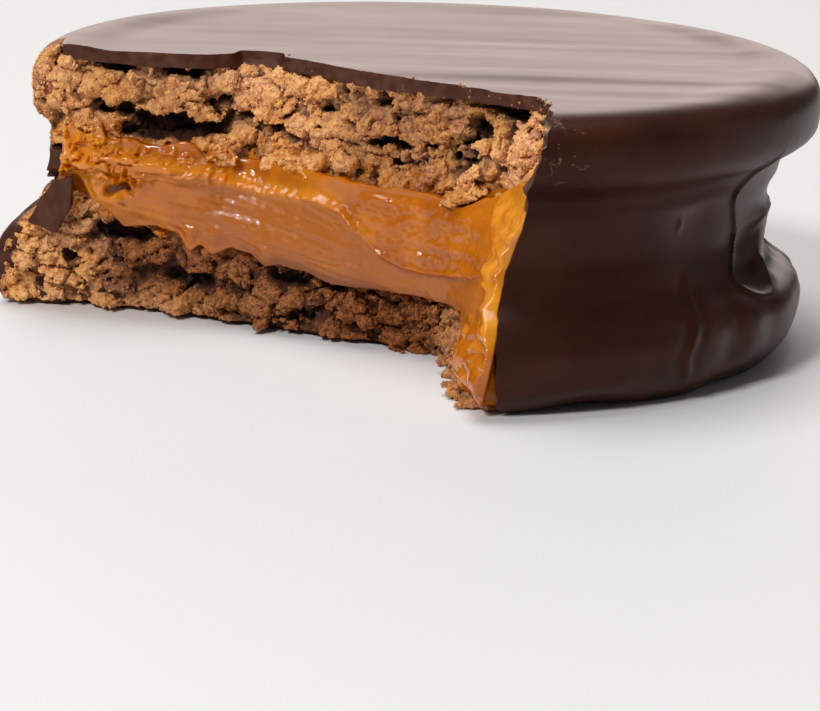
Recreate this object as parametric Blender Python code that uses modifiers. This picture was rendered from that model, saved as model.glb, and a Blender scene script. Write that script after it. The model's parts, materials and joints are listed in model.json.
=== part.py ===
"""A chocolate-dipped alfajor with one bite taken out of its side.

Two biscuit discs hold a layer of dulce de leche, a shell of dark chocolate wraps all three, and
the bite lays them open. Metres, +Z up. The origin is under the middle of the cookie's outline,
on the flat face that it rests on, and the bite faces -Y.
"""

import math

import bmesh
import bpy
from mathutils import Vector, noise

MM = 0.001
NAME = "alfajor_cookie"

# The dipped cookie as a turned form: a round lobe over each biscuit, and a waist between them
TURN_STEPS = 60
TOP_HEIGHT = 20.9 * MM
RIM_RADIUS = 29.5 * MM
RIM_HEIGHT = 18.0 * MM
RIM_ROUND = 4.4 * MM
RIM_UNDERCUT = 3.0 * MM
RIM_SQUARE = 0.7
WAIST_RADIUS = 26.5 * MM
WAIST_LOW = 8.0 * MM
WAIST_HIGH = 15.0 * MM
BULGE_RADIUS = 30.7 * MM
BULGE_HEIGHT = 4.2 * MM
BULGE_ROUND = 4.2 * MM
BULGE_CROWN = 3.6 * MM
FOOT_DROP = 5.0 * MM
FLAT_RADIUS = 26.0 * MM

# How the real cookie leaves the turned form. The bite pressed its left end wide and its waist out.
TOP_SHIFT = 1.3 * MM
TOP_TILT = math.tan(math.radians(0.8))
BACK_LIFT = 0.45 * MM
WOBBLE = 0.22 * MM
LEFT_SPREAD = 0.8 * MM
LEFT_SQUEEZE = 1.9 * MM
LEFT_CORNER = 0.5 * MM
LEFT_TOE = 1.6 * MM
RIGHT_SPREAD = -0.5 * MM
RIGHT_SQUEEZE = -0.95 * MM
RIGHT_CORNER = 0.35 * MM
RIGHT_DIP = 0.8 * MM
OUTLINE_SHIFT = Vector((0.36, -0.45, 0)) * MM

# The chocolate shell. Angles are in degrees from +X, so the front of the cookie is at -90.
SKIN = 1.1 * MM
WAIST_SKIN = 0.85
GAP = 0.3 * MM
RUN_THICKNESS = 0.9 * MM
RUN_ANGLE = -30.0
RIDGE_HEIGHT = 0.45 * MM
RIDGE_ANGLE = -48.0
HOLLOW_DEPTH = 0.5 * MM
HOLLOW_ANGLE = -39.0
HOLLOW_HEIGHT = 13.0 * MM
FOOT_LIFT = 0.6 * MM
FOOT_WAVES = 7
FOOT_ANGLE = -63.0

# The layers
FILLING_FLOOR = 7.4 * MM
FILLING_CEILING = 12.5 * MM
LEFT_RISE = 1.9 * MM
CRUMB_RELIEF = 0.45 * MM
TOP_SETBACK = 0.45 * MM
LEFT_SETBACK = 0.2 * MM
BASE_SETBACK = 1.15 * MM
CORE_SETBACK = 0.7 * MM
LAYER_REACH = 34 * MM
LAYER_CELLS = 11

# The bite's outline in plan, from the cookie's left end round to its front, in millimetres.
# The teeth met lower than they started, so the line along the base is another one.
BITE_TOP = ((-36, -1.2), (-31, -1.6), (-26, -2.4), (-21, -2.8), (-16, -3.1), (-12.4, -1.6),
            (-8.4, -4.2), (-4.2, -9.0), (0.8, -12.0), (5.2, -15.3), (8.9, -18.6), (9.6, -23.5),
            (9.7, -28.5), (9.9, -34))
BITE_BASE = ((-37, -0.6), (-32, -0.8), (-27.5, -0.4), (-22.5, -1.3), (-17.5, -3.7), (-12.5, -6.3),
             (-8, -8.4), (-3.8, -9.9), (0.4, -11.7), (3.0, -14.4), (3.9, -18.6), (4.6, -23.5),
             (5.6, -28), (6.5, -34))
BITE_SPAN = len(BITE_TOP) - 1
BITE_COLUMNS = 44
ROW_HEIGHT = 0.95 * MM
CUTTER_REACH = 45 * MM

# Hollows in the bitten crumb: place along the bite, height, half width, half height and depth
TOP_HOLLOWS = ((3.5, 14.9, 0.9, 1.3, 2.6), (7.6, 15.8, 0.45, 0.9, 1.4), (9.2, 19.2, 0.9, 0.9, 1.5))
BASE_HOLLOWS = ((3.9, 3.3, 0.8, 0.9, 1.2), (6.0, 2.4, 0.8, 0.9, 1.2))

# The filling's smeared face, from its place along the bite at the left to the one in front
SMEAR_START = 2.1
SMEAR_END = 10.9
SMEAR_COLUMNS = 34
SMEAR_ROWS = 8
SMEAR_LEAST = 0.3 * MM
SMEAR_ROOT = 2.2 * MM
SMEAR_INSET = 1.8 * MM
SMEAR_FOOT = 0.4 * MM

# The broken piece of shell: corners as places along the bite and heights in millimetres
FRAGMENT_CORNERS = ((2.18, 10.6), (1.9, 10.3), (1.52, 7.0), (1.95, 6.7))
FRAGMENT_THICKNESS = 0.9 * MM
FRAGMENT_PROUD = 0.5 * MM
FRAGMENT_LEAN = 0.1


def clear_scene():
    for item in list(bpy.data.objects):
        bpy.data.objects.remove(item, do_unlink=True)


def ease(low, high, value):
    """0 below low, 1 above high, and a smooth rise between them."""
    share = min(max((value - low) / (high - low), 0.0), 1.0)
    return share * share * (3 - 2 * share)


def between(low, high, soft, value):
    """1 from low to high, fading to 0 over the soft width on either side."""
    return ease(low - soft, low + soft, value) * (1 - ease(high - soft, high + soft, value))


def mix(first, second, share):
    return first + (second - first) * share


def add_collection(name):
    collection = bpy.data.collections.new(name)
    bpy.context.scene.collection.children.link(collection)
    return collection


def add_object(mesh, collection):
    item = bpy.data.objects.new(mesh.name, mesh)
    collection.objects.link(item)
    return item


def hide(cutter):
    cutter.hide_render = True
    cutter.display_type = "WIRE"
    return cutter


def loft_ends(source, loops):
    """Joins loops of equally many corners into a closed body, with its two ends filled."""
    count = len(loops[0])
    for first, second in zip(loops, loops[1:]):
        for index in range(count):
            after = (index + 1) % count
            source.faces.new((first[index], second[index], second[after], first[after]))
    source.faces.new(loops[0])
    source.faces.new(reversed(loops[-1]))


def finish_mesh(name, source, collection):
    """Turns the faces outwards and puts the mesh into the scene."""
    bmesh.ops.recalc_face_normals(source, faces=source.faces)
    mesh = bpy.data.meshes.new(name)
    source.to_mesh(mesh)
    source.free()
    return add_object(mesh, collection)


def boolean(item, other, operation):
    modifier = item.modifiers.new(other.name, "BOOLEAN")
    modifier.operation = operation
    modifier.solver = "EXACT"
    modifier.object = other


# The turned form

def lobe_arc(centre, width, height, start, end, steps, square=1.0):
    """Points of a flattened circle's arc, top to bottom. A square under 1 fills its corners."""
    points = []
    for step in range(steps + 1):
        angle = math.radians(mix(start, end, step / steps))
        across = max(math.cos(angle), 0.0) ** square
        up = math.copysign(abs(math.sin(angle)) ** square, math.sin(angle))
        points.append((centre[0] + width * across, centre[1] + height * up))
    return points


def waist_curve(top, bottom, middle):
    """Points of the hollow curve that joins the two lobes, middle wide halfway down."""
    pull = middle * 4 / 3 - (top[0] + bottom[0]) / 6
    points = []
    for share in (0.25, 0.5, 0.75):
        rest = 1 - share
        radius = rest ** 3 * top[0] + 3 * rest * share * pull + share ** 3 * bottom[0]
        points.append((radius, mix(top[1], bottom[1], share)))
    return points


def dipped_profile(skin):
    """Half section from the middle of the top face down to the base, skin below the surface."""
    fine = 1 if skin else 2
    waist_skin = skin - SKIN * (1 - WAIST_SKIN) if skin else 0.0
    rim_centre = (RIM_RADIUS - RIM_ROUND, RIM_HEIGHT)
    rim_depth = TOP_HEIGHT - RIM_HEIGHT - skin
    rim = lobe_arc(rim_centre, RIM_ROUND - skin, rim_depth, 90, 0, 2 * fine, RIM_SQUARE)
    under = lobe_arc(rim_centre, RIM_ROUND - skin, RIM_UNDERCUT - skin, 0, -64, fine, RIM_SQUARE)
    bulge_centre = (BULGE_RADIUS - BULGE_ROUND, BULGE_HEIGHT)
    crown = lobe_arc(bulge_centre, BULGE_ROUND - skin, BULGE_CROWN - skin, 68, 0, 1 + fine)
    drop = math.degrees(math.asin((BULGE_HEIGHT - skin) / FOOT_DROP))
    foot = lobe_arc(bulge_centre, BULGE_ROUND - skin, FOOT_DROP, 0, -drop, fine)
    waist = waist_curve(under[-1], crown[0], WAIST_RADIUS - waist_skin)
    flat = (FLAT_RADIUS, skin)
    return [(0, TOP_HEIGHT - skin)] + rim + under[1:] + waist + crown + foot[1:] + [flat, (0, skin)]


def settle(point):
    """Moves a point of the turned form to its place on the uneven cookie."""
    x, y, z = point
    angle, radius = math.atan2(y, x), math.hypot(x, y)
    outer = ease(15 * MM, 25 * MM, radius)
    left, right = (max(0.0, side * math.cos(angle)) ** 3 for side in (-1, 1))
    waist = between(WAIST_LOW, WAIST_HIGH, 2 * MM, z)
    low = 1 - ease(7 * MM, 9 * MM, z)
    toe = 1 - ease(0, 3.5 * MM, z)
    corner = ease(23 * MM, 27 * MM, radius) * ease(16 * MM, 19 * MM, z)
    spread = WOBBLE * (math.cos(2 * angle - 0.4) + 0.6 * math.cos(3 * angle + 0.7))
    spread += left * (mix(LEFT_SPREAD, LEFT_SQUEEZE, waist) + LEFT_TOE * toe)
    spread += right * mix(RIGHT_SPREAD * low, RIGHT_SQUEEZE, waist)
    raised = corner * (left * LEFT_CORNER + right * RIGHT_CORNER)
    dip = right * RIGHT_DIP * between(6 * MM, 9 * MM, 1.5 * MM, z)
    radius += outer * spread
    x = radius * math.cos(angle) + TOP_SHIFT * ease(6 * MM, 16 * MM, z)
    y = radius * math.sin(angle)
    lift = x * TOP_TILT + BACK_LIFT * ease(0, RIM_RADIUS, y)
    z += lift * ease(8 * MM, 18 * MM, z) + outer * (raised - dip)
    return Vector((x, y, z)) + OUTLINE_SHIFT


def drape(point):
    """The chocolate's own run, ridge, hollow and wavy foot, on a point of the turned form."""
    x, y, z = point
    angle, radius = math.degrees(math.atan2(y, x)), math.hypot(x, y)
    run_edge = RUN_ANGLE + 2.5 * math.cos(z / (2.2 * MM))
    run = ease(run_edge - 2, run_edge + 3, angle) * (1 - ease(4, 26, angle))
    radius += RUN_THICKNESS * run * between(7.5 * MM, WAIST_HIGH, MM, z)
    ridge = math.exp(-((angle - RIDGE_ANGLE) / 3) ** 2)
    radius += RIDGE_HEIGHT * ridge * between(MM, 9 * MM, MM, z)
    away = ((angle - HOLLOW_ANGLE) / 7) ** 2 + ((z - HOLLOW_HEIGHT) / (1.8 * MM)) ** 2
    radius -= HOLLOW_DEPTH * math.exp(-away)
    wave = (0.5 + 0.5 * math.cos(math.radians(FOOT_WAVES * (angle - FOOT_ANGLE)))) ** 2
    edge = ease(FLAT_RADIUS, FLAT_RADIUS + 2 * MM, radius) * (1 - ease(0, 3 * MM, z))
    z += FOOT_LIFT * wave * edge
    turn = math.radians(angle)
    return Vector((radius * math.cos(turn), radius * math.sin(turn), z))


def turned_body(name, skin, collection, draped=False):
    """The closed form, skin below the cookie's surface: a profile and a Screw, then made uneven."""
    profile = dipped_profile(skin)
    mesh = bpy.data.meshes.new(name)
    edges = [(index, index + 1) for index in range(len(profile) - 1)]
    mesh.from_pydata([(radius, 0, height) for radius, height in profile], edges, [])
    source = add_object(mesh, collection)
    screw = source.modifiers.new("turn", "SCREW")
    screw.axis = "Z"
    screw.steps = TURN_STEPS
    screw.render_steps = TURN_STEPS
    screw.use_merge_vertices = True
    screw.merge_threshold = 0.00001
    bpy.context.view_layer.update()
    evaluated = source.evaluated_get(bpy.context.evaluated_depsgraph_get())
    turned = bpy.data.meshes.new_from_object(evaluated)
    bpy.data.objects.remove(source, do_unlink=True)
    bpy.data.meshes.remove(mesh)
    turned.name = name
    for vertex in turned.vertices:
        place = drape(vertex.co) if draped else vertex.co
        vertex.co = settle(place)
    return add_object(turned, collection)


# The bite

def smooth_line(points, place):
    """Catmull-Rom curve through the points, where place counts the points passed."""
    last = len(points) - 1
    place = min(max(place, 0.0), last - 1e-6)
    index = int(place)
    share = place - index
    a, b, c, d = (Vector(points[min(max(index + step, 0), last)]) for step in (-1, 0, 1, 2))
    bend = (2 * a - 5 * b + 4 * c - d) * share ** 2 + (3 * b - a - 3 * c + d) * share ** 3
    return (2 * b + (c - a) * share + bend) / 2 * MM


def bite_line(place, height):
    share = ease(0, TOP_HEIGHT, height)
    return mix(smooth_line(BITE_BASE, place), smooth_line(BITE_TOP, place), share)


def bite_point(place, height, proud):
    """A point of the bitten face, moved out of the cookie by proud."""
    here = bite_line(place, height)
    along = bite_line(place + 0.4, height) - bite_line(place - 0.4, height)
    here += Vector((along.y, -along.x)).normalized() * proud
    return Vector((here.x, here.y, height)) + OUTLINE_SHIFT


def relief(place, height, size, seed):
    """Even noise from -1 to 1 over the bitten face, with lumps of about the given size."""
    here = bite_line(place, height) / size
    level = noise.noise(Vector((here.x + seed, here.y, height / size * 1.4)))
    return min(max(1.6 * level, -1.0), 1.0)


def hollows(place, height, listed):
    """How deep the listed hollows reach at one spot of the bitten face."""
    depth = 0.0
    for centre, level, width, tall, deep in listed:
        away = ((place - centre) / width) ** 2 + ((height / MM - level) / tall) ** 2
        depth = max(depth, deep * MM * (1 - away))
    return depth


def top_crumb(place, height):
    """The top biscuit's bitten face."""
    rough = CRUMB_RELIEF * relief(place, height, 2.2 * MM, 3.0)
    return rough - TOP_SETBACK - hollows(place, height, TOP_HOLLOWS)


def base_setback(place):
    """The lower biscuit broke off further in, except at the cookie's left end."""
    return mix(LEFT_SETBACK, BASE_SETBACK, ease(2.4, 4.2, place))


def base_crumb(place, height):
    """The lower biscuit's bitten face."""
    rough = CRUMB_RELIEF * relief(place, height, 2.0 * MM, 11.0)
    return rough - base_setback(place) - hollows(place, height, BASE_HOLLOWS)


def filling_core(place, height):
    """Where the filling's layer ends, inside its smeared face."""
    return -CORE_SETBACK


def coating_edge(place, height):
    """The broken edge of the chocolate, with its chip, its gap at the waist and its short base."""
    rough = 0.12 * MM * relief(place, height, 1.5 * MM, 23.0)
    chip = between(4.7, 5.6, 0.25, place) * ease(19 * MM, 19.8 * MM, height)
    gap = between(7.6 * MM, 10.6 * MM, 0.4 * MM, height) * (1 - ease(2.4, 3.2, place))
    base = between(3.0, 12.7, 0.3, place) * (1 - ease(1.2 * MM, 2.0 * MM, height))
    return rough - 1.5 * MM * chip - 3.2 * MM * gap - 1.9 * MM * base


def bite_cutter(name, face, collection):
    """A closed block over the bitten part, whose wall follows the given face."""
    below, above = -3 * MM, TOP_HEIGHT + 4 * MM
    rows = round((above - below) / ROW_HEIGHT)
    block = bmesh.new()
    loops = []
    for row in range(rows + 1):
        height = mix(below, above, row / rows)
        wall = []
        for column in range(BITE_COLUMNS + 1):
            place = BITE_SPAN * column / BITE_COLUMNS
            wall.append(bite_point(place, height, face(place, height)))
        corners = ((wall[-1].x, -CUTTER_REACH), (-CUTTER_REACH, -CUTTER_REACH),
                   (-CUTTER_REACH, wall[0].y))
        outline = wall + [Vector((x, y, height)) for x, y in corners]
        loops.append([block.verts.new(point) for point in outline])
    loft_ends(block, loops)
    return hide(finish_mesh(name, block, collection))


# The layers

def filling_floor(x):
    """The lower biscuit's top, pressed up at the cookie's left end."""
    return FILLING_FLOOR + LEFT_RISE * (1 - ease(-27 * MM, -18 * MM, x))


def filling_ceiling(x):
    """The top biscuit's underside, higher at both ends of the bite."""
    left = 1.2 * MM * (1 - ease(-22 * MM, -15 * MM, x))
    return FILLING_CEILING + left + 1.6 * MM * ease(2 * MM, 9 * MM, x)


def layer_block(name, floor, ceiling, collection):
    """A block that spans the cookie between two uneven faces."""
    block = bmesh.new()
    bmesh.ops.create_grid(block, x_segments=LAYER_CELLS, y_segments=LAYER_CELLS, size=LAYER_REACH)
    lower = list(block.verts)
    sheet = bmesh.ops.extrude_face_region(block, geom=list(block.faces))
    upper = [item for item in sheet["geom"] if isinstance(item, bmesh.types.BMVert)]
    for vertex in lower:
        vertex.co.z = floor(vertex.co.x)
    for vertex in upper:
        vertex.co.z = ceiling(vertex.co.x)
    return hide(finish_mesh(name, block, collection))


def smear_place(place, height):
    """The run at the smear's front end reaches further forward than the filling above it."""
    return place + 0.5 * ease(9.5, SMEAR_END, place) * (1 - ease(6 * MM, 8.5 * MM, height))


def smear_low(place):
    """The lower edge of the smeared filling, which ends in a run down to the base."""
    lip = mix(7.9 * MM, 3.2 * MM, ease(1.5, 9.2, place))
    left = 2.9 * MM * (1 - ease(2.2, 2.7, place))
    teeth = 0.35 * MM * noise.noise(Vector((place * 2.3, 5.0, 0.0)))
    return mix(lip + left + teeth, SMEAR_FOOT, ease(9.4, 9.9, place))


def smear_high(place):
    """The upper edge of the smeared filling."""
    left = 1.4 * MM * (1 - ease(3.0, 4.3, place))
    right = 2.6 * MM * ease(8.6, 10.4, place)
    return 12.6 * MM + left + right


def smear_clear(place, height):
    """The nearest to the cookie that the smear may come where it covers a biscuit's face."""
    over_base = CRUMB_RELIEF + GAP - base_setback(place)
    over_top = CRUMB_RELIEF + GAP - TOP_SETBACK
    return mix(over_base, over_top, ease(9 * MM, 11 * MM, height))


def smear_front(place, height):
    """The smear's face: full at the left, a shelf low down at the right, and rounded edges."""
    low, high = smear_low(place), smear_high(place)
    proud = mix(0.75 * MM, 0.45 * MM, ease(9.0, 10.5, place))
    proud += 0.35 * MM * (1 - ease(4.5, 6.5, place)) * ease(2.6, 3.4, place)
    shelf = 0.35 * MM * (1 - ease(7.4 * MM, 8.4 * MM, height)) * between(5, 9.3, 0.8, place)
    round_low = 0.9 * MM * (1 - ease(0, 2.2 * MM, height - low))
    round_high = 0.7 * MM * (1 - ease(0, 1.2 * MM, high - height))
    drag = 0.14 * MM * relief(place, height, 2.6 * MM, 41.0)
    front = proud - shelf - round_low - round_high + drag
    return max(front, smear_clear(place, height) + SMEAR_LEAST)


def smear_back(place, height):
    """Clear of both biscuits' faces, and deep inside the filling's layer between them."""
    x = bite_line(place, height).x
    low, high = filling_floor(x) + SMEAR_INSET, filling_ceiling(x) - SMEAR_INSET
    into = between(low, high, 0.5 * MM, height)
    return mix(smear_clear(place, height), -SMEAR_ROOT, into)


def smear_body(name, collection):
    """The filling that the teeth dragged down over the lower biscuit."""
    loft = bmesh.new()
    loops = []
    for column in range(SMEAR_COLUMNS + 1):
        place = mix(SMEAR_START, SMEAR_END, column / SMEAR_COLUMNS)
        low, high = smear_low(place), smear_high(place)
        front, back = [], []
        for row in range(SMEAR_ROWS + 1):
            height = mix(low, high, row / SMEAR_ROWS)
            here = smear_place(place, height)
            front.append(bite_point(here, height, smear_front(place, height)))
            back.append(bite_point(here, height, smear_back(place, height)))
        loops.append([loft.verts.new(point) for point in front + back[::-1]])
    loft_ends(loft, loops)
    return hide(finish_mesh(name, loft, collection))


# The nodes

def paint(item, color, roughness):
    material = bpy.data.materials.new(item.name)
    material.use_nodes = True
    shader = material.node_tree.nodes["Principled BSDF"]
    shader.inputs["Base Color"].default_value = (*color, 1)
    shader.inputs["Roughness"].default_value = roughness
    shader.inputs["Metallic"].default_value = 0.0
    item.data.materials.clear()
    item.data.materials.append(material)


def make_coating(parts, cutters):
    coating = turned_body("chocolate_coating", 0, parts, draped=True)
    inside = hide(turned_body("coating_inside", SKIN, cutters))
    boolean(coating, inside, "DIFFERENCE")
    boolean(coating, bite_cutter("coating_bite", coating_edge, cutters), "DIFFERENCE")
    paint(coating, (0.045, 0.017, 0.010), 0.35)


def make_layer(name, floor, ceiling, face, parts, cutters):
    """What fills the shell between two heights, bitten off at the given face."""
    layer = turned_body(name, SKIN + GAP, parts)
    boolean(layer, layer_block(name + "_block", floor, ceiling, cutters), "INTERSECT")
    boolean(layer, bite_cutter(name + "_bite", face, cutters), "DIFFERENCE")
    return layer


def make_top_biscuit(parts, cutters):
    def floor(x):
        return filling_ceiling(x) + GAP / 2

    def ceiling(x):
        return TOP_HEIGHT + 9 * MM

    biscuit = make_layer("top_biscuit", floor, ceiling, top_crumb, parts, cutters)
    paint(biscuit, (0.42, 0.20, 0.09), 0.9)


def make_bottom_biscuit(parts, cutters):
    def floor(x):
        return -5 * MM

    def ceiling(x):
        return filling_floor(x) - GAP / 2

    biscuit = make_layer("bottom_biscuit", floor, ceiling, base_crumb, parts, cutters)
    paint(biscuit, (0.42, 0.20, 0.09), 0.9)


def make_filling(parts, cutters):
    def floor(x):
        return filling_floor(x) + GAP / 2

    def ceiling(x):
        return filling_ceiling(x) - GAP / 2

    filling = make_layer("dulce_de_leche", floor, ceiling, filling_core, parts, cutters)
    boolean(filling, smear_body("filling_smear", cutters), "UNION")
    paint(filling, (0.42, 0.13, 0.018), 0.3)


def make_fragment(parts):
    """A broken triangle of the shell, caught in the filling at the cookie's left end."""
    lowest = min(level for _, level in FRAGMENT_CORNERS)
    plate = bmesh.new()
    rings = []
    for depth in (0, FRAGMENT_THICKNESS):
        ring = []
        for place, level in FRAGMENT_CORNERS:
            proud = FRAGMENT_PROUD + depth + FRAGMENT_LEAN * (level - lowest) * MM
            ring.append(plate.verts.new(bite_point(place, level * MM, proud)))
        rings.append(ring)
    loft_ends(plate, rings)
    fragment = finish_mesh("coating_fragment", plate, parts)
    bevel = fragment.modifiers.new("worn edges", "BEVEL")
    bevel.width = 0.15 * MM
    bevel.segments = 1
    paint(fragment, (0.06, 0.024, 0.016), 0.4)


def main():
    clear_scene()
    parts = add_collection(NAME)
    cutters = add_collection(NAME + "_cutters")
    make_coating(parts, cutters)
    make_top_biscuit(parts, cutters)
    make_filling(parts, cutters)
    make_bottom_biscuit(parts, cutters)
    make_fragment(parts)
    for item in parts.objects:
        item.data.shade_smooth()
        item.data.set_sharp_from_angle(angle=math.radians(40))


main()
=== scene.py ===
"""The looks of a bitten, chocolate-dipped alfajor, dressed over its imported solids.

The finished form is worked out again here from the cookie's own sizes, at a far finer grain: a
poured chocolate shell with its runs, folds and broken edge, two crumbly biscuits, a smeared layer
of dulce de leche, and the loose crumbs around them. Lengths inside the script are millimetres, and
become metres where a mesh is made. The bite faces -Y, and the origin lies under the cookie.
"""

import json
import math
from itertools import product

import bmesh
import bpy
import numpy as np
from bpy.props import FloatProperty, FloatVectorProperty, PointerProperty
from bpy.types import Operator, Panel, PropertyGroup
from mathutils import Matrix, Vector

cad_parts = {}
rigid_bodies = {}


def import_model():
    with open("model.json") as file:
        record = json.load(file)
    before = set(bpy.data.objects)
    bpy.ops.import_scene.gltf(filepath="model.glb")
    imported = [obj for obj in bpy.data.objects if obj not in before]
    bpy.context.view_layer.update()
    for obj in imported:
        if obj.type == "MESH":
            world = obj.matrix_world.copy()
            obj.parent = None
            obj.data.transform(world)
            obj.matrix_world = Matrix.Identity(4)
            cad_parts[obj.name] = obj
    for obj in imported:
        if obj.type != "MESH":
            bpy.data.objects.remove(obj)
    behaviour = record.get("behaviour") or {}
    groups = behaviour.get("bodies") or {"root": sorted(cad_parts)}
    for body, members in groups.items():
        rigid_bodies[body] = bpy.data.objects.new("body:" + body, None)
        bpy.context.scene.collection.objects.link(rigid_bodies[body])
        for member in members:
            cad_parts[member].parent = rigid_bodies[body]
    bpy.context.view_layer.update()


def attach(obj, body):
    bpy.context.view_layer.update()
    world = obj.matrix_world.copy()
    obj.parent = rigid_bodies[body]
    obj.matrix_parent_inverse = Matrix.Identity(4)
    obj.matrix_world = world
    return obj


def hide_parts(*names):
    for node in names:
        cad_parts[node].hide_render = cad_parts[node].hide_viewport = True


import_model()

bl_info = {
    "name": "Bitten alfajor",
    "version": (1, 0, 0),
    "blender": (4, 5, 0),
    "location": "View3D > Sidebar > Alfajor",
    "description": "Builds a chocolate-dipped alfajor with a bite taken out of it",
    "category": "Object",
}

BODY = "root"
MM = 0.001

# The dipped cookie as a turned form: a round lobe over each biscuit, and a waist between them
TOP_HEIGHT = 20.9
RIM_RADIUS = 29.5
RIM_HEIGHT = 18.0
RIM_ROUND = 4.4
RIM_UNDERCUT = 3.0
RIM_SQUARE = 0.7
WAIST_RADIUS = 26.5
WAIST_LOW = 8.0
WAIST_HIGH = 15.0
BULGE_RADIUS = 30.7
BULGE_HEIGHT = 4.2
BULGE_ROUND = 4.2
BULGE_CROWN = 3.6
FOOT_DROP = 5.0
FLAT_RADIUS = 26.0
SKIN = 1.1

# How the real cookie leaves the turned form
TOP_SHIFT = 1.3
TOP_TILT = math.tan(math.radians(0.8))
BACK_LIFT = 0.45
WOBBLE = 0.22
LEFT_SPREAD = 0.8
LEFT_SQUEEZE = 1.9
LEFT_CORNER = 0.5
LEFT_TOE = 1.6
RIGHT_SPREAD = -0.5
RIGHT_SQUEEZE = -0.95
RIGHT_CORNER = 0.35
RIGHT_DIP = 0.8
OUTLINE_SHIFT = (0.36, -0.45)

# The layers
FILLING_FLOOR = 7.4
FILLING_CEILING = 12.5
LEFT_RISE = 1.9
TOP_SETBACK = 0.45
LEFT_SETBACK = 0.2
BASE_SETBACK = 1.15
CRUMB_TOP = 21.3
CRUMB_OVERLAP = 0.1

# The bite's outline in plan, from the cookie's left end round to its front: a place along the bite
# counts these points. The teeth met lower than they started, so the base has a line of its own.
BITE_TOP = ((-36, -1.2), (-31, -1.6), (-26, -2.4), (-21, -2.8), (-16, -3.1), (-12.4, -1.6),
            (-8.4, -4.2), (-4.2, -9.0), (0.8, -12.0), (5.2, -15.3), (8.9, -18.6), (9.6, -23.5),
            (9.7, -28.5), (9.9, -34))
BITE_BASE = ((-37, -0.6), (-32, -0.8), (-27.5, -0.4), (-22.5, -1.3), (-17.5, -3.7), (-12.5, -6.3),
             (-8, -8.4), (-3.8, -9.9), (0.4, -11.7), (3.0, -14.4), (3.9, -18.6), (4.6, -23.5),
             (5.6, -28), (6.5, -34))
BITE_SPAN = len(BITE_TOP) - 1
PLACE_LENGTH = 5.0

# Lumps and hollows of the torn crumb: place, height, half width, half height, and how far it goes
TOP_LUMPS = ((1.7, 17.4, 0.5, 2.6, 0.55), (1.6, 20.0, 0.3, 1.0, 0.5), (2.55, 17.9, 0.4, 1.2, 0.45),
             (3.06, 18.4, 0.3, 1.5, 0.95), (3.85, 17.9, 0.33, 1.3, 0.7), (5.15, 17.4, 0.75, 1.8, 0.85),
             (4.62, 13.1, 0.42, 1.1, 1.35), (5.75, 13.0, 0.6, 0.9, 0.8), (6.3, 15.9, 0.4, 0.8, 0.45),
             (7.0, 13.4, 0.5, 0.9, 0.4), (7.95, 18.2, 0.5, 1.0, 0.45), (6.6, 18.2, 0.5, 0.9, 0.35),
             (9.85, 16.8, 0.22, 2.4, 0.65), (2.1, 14.9, 0.4, 1.2, 0.5))
TOP_HOLLOWS = ((3.6, 14.9, 0.85, 1.1, 2.6), (2.47, 15.8, 0.16, 0.6, 1.3), (2.85, 16.1, 0.2, 0.6, 1.5),
               (2.7, 19.4, 0.45, 0.5, 1.1), (3.5, 19.2, 0.3, 0.6, 1.3), (4.05, 19.3, 0.35, 0.45, 1.4),
               (4.35, 16.8, 0.35, 0.6, 1.5), (5.6, 14.9, 0.35, 0.5, 1.1), (6.1, 17.3, 0.22, 0.4, 0.8),
               (6.8, 16.6, 0.2, 0.4, 0.8), (7.5, 15.8, 0.38, 0.5, 1.6), (7.4, 18.9, 0.22, 0.6, 1.1),
               (8.95, 19.9, 0.4, 0.5, 1.4), (9.45, 19.7, 0.2, 0.8, 1.9), (8.95, 17.9, 0.26, 0.8, 1.5),
               (8.68, 15.9, 0.3, 1.5, 1.7), (9.53, 17.0, 0.07, 1.9, 1.0), (8.55, 14.2, 0.12, 0.6, 1.2))
BASE_LUMPS = ((1.85, 4.2, 0.5, 1.3, 0.45), (2.3, 2.2, 0.5, 1.0, 0.4), (3.4, 2.2, 0.4, 0.8, 0.35),
              (3.6, 5.0, 0.3, 0.9, 0.5), (4.7, 2.2, 0.4, 0.9, 0.4), (5.85, 3.0, 0.5, 1.0, 0.45),
              (6.95, 2.8, 0.5, 1.2, 0.45), (8.1, 2.0, 0.5, 1.0, 0.35), (9.0, 1.6, 0.5, 0.9, 0.4),
              (2.88, 0.9, 0.12, 0.8, 1.0), (3.93, 1.0, 0.14, 0.8, 0.9), (5.3, 1.0, 0.16, 0.9, 1.0),
              (9.7, 1.5, 0.42, 2.4, 1.7), (10.0, 1.6, 0.3, 1.8, 1.3), (10.8, 0.1, 0.32, 0.85, 2.5),
              (11.3, 0.0, 0.45, 0.85, 2.3))
BASE_HOLLOWS = ((2.25, 4.1, 0.15, 0.4, 0.8), (2.9, 6.0, 0.6, 0.7, 1.3), (4.05, 2.9, 0.4, 0.9, 1.5),
                (5.35, 4.1, 0.3, 0.7, 1.3), (6.1, 1.9, 0.4, 0.5, 1.0), (3.0, 3.9, 0.35, 0.3, 0.7),
                (2.75, 2.9, 0.2, 0.25, 0.6), (7.6, 3.2, 0.25, 0.4, 0.8), (6.5, 4.2, 0.25, 0.4, 0.9))

# The sugary ridge that hangs over the filling: heights, places, and how far it stands out
TONGUE_HEIGHTS = (12.0, 13.3, 15.0, 16.5, 18.8)
TONGUE_PLACES = (8.72, 8.9, 9.12, 9.2, 9.4)
TONGUE_REACH = (1.5, 1.4, 1.05, 0.85, 0.7)

# The smeared filling's lower edge at the right, and the drips along it: place, half width, drop
SMEAR_FOOT = 0.7
SMEAR_DRIPS = ((4.15, 0.13, 1.1), (4.52, 0.15, 0.8), (5.42, 0.16, 0.5), (3.05, 0.2, 0.6),
               (7.75, 0.2, 0.45), (8.6, 0.15, 0.35), (6.6, 0.3, 0.15))

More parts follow.
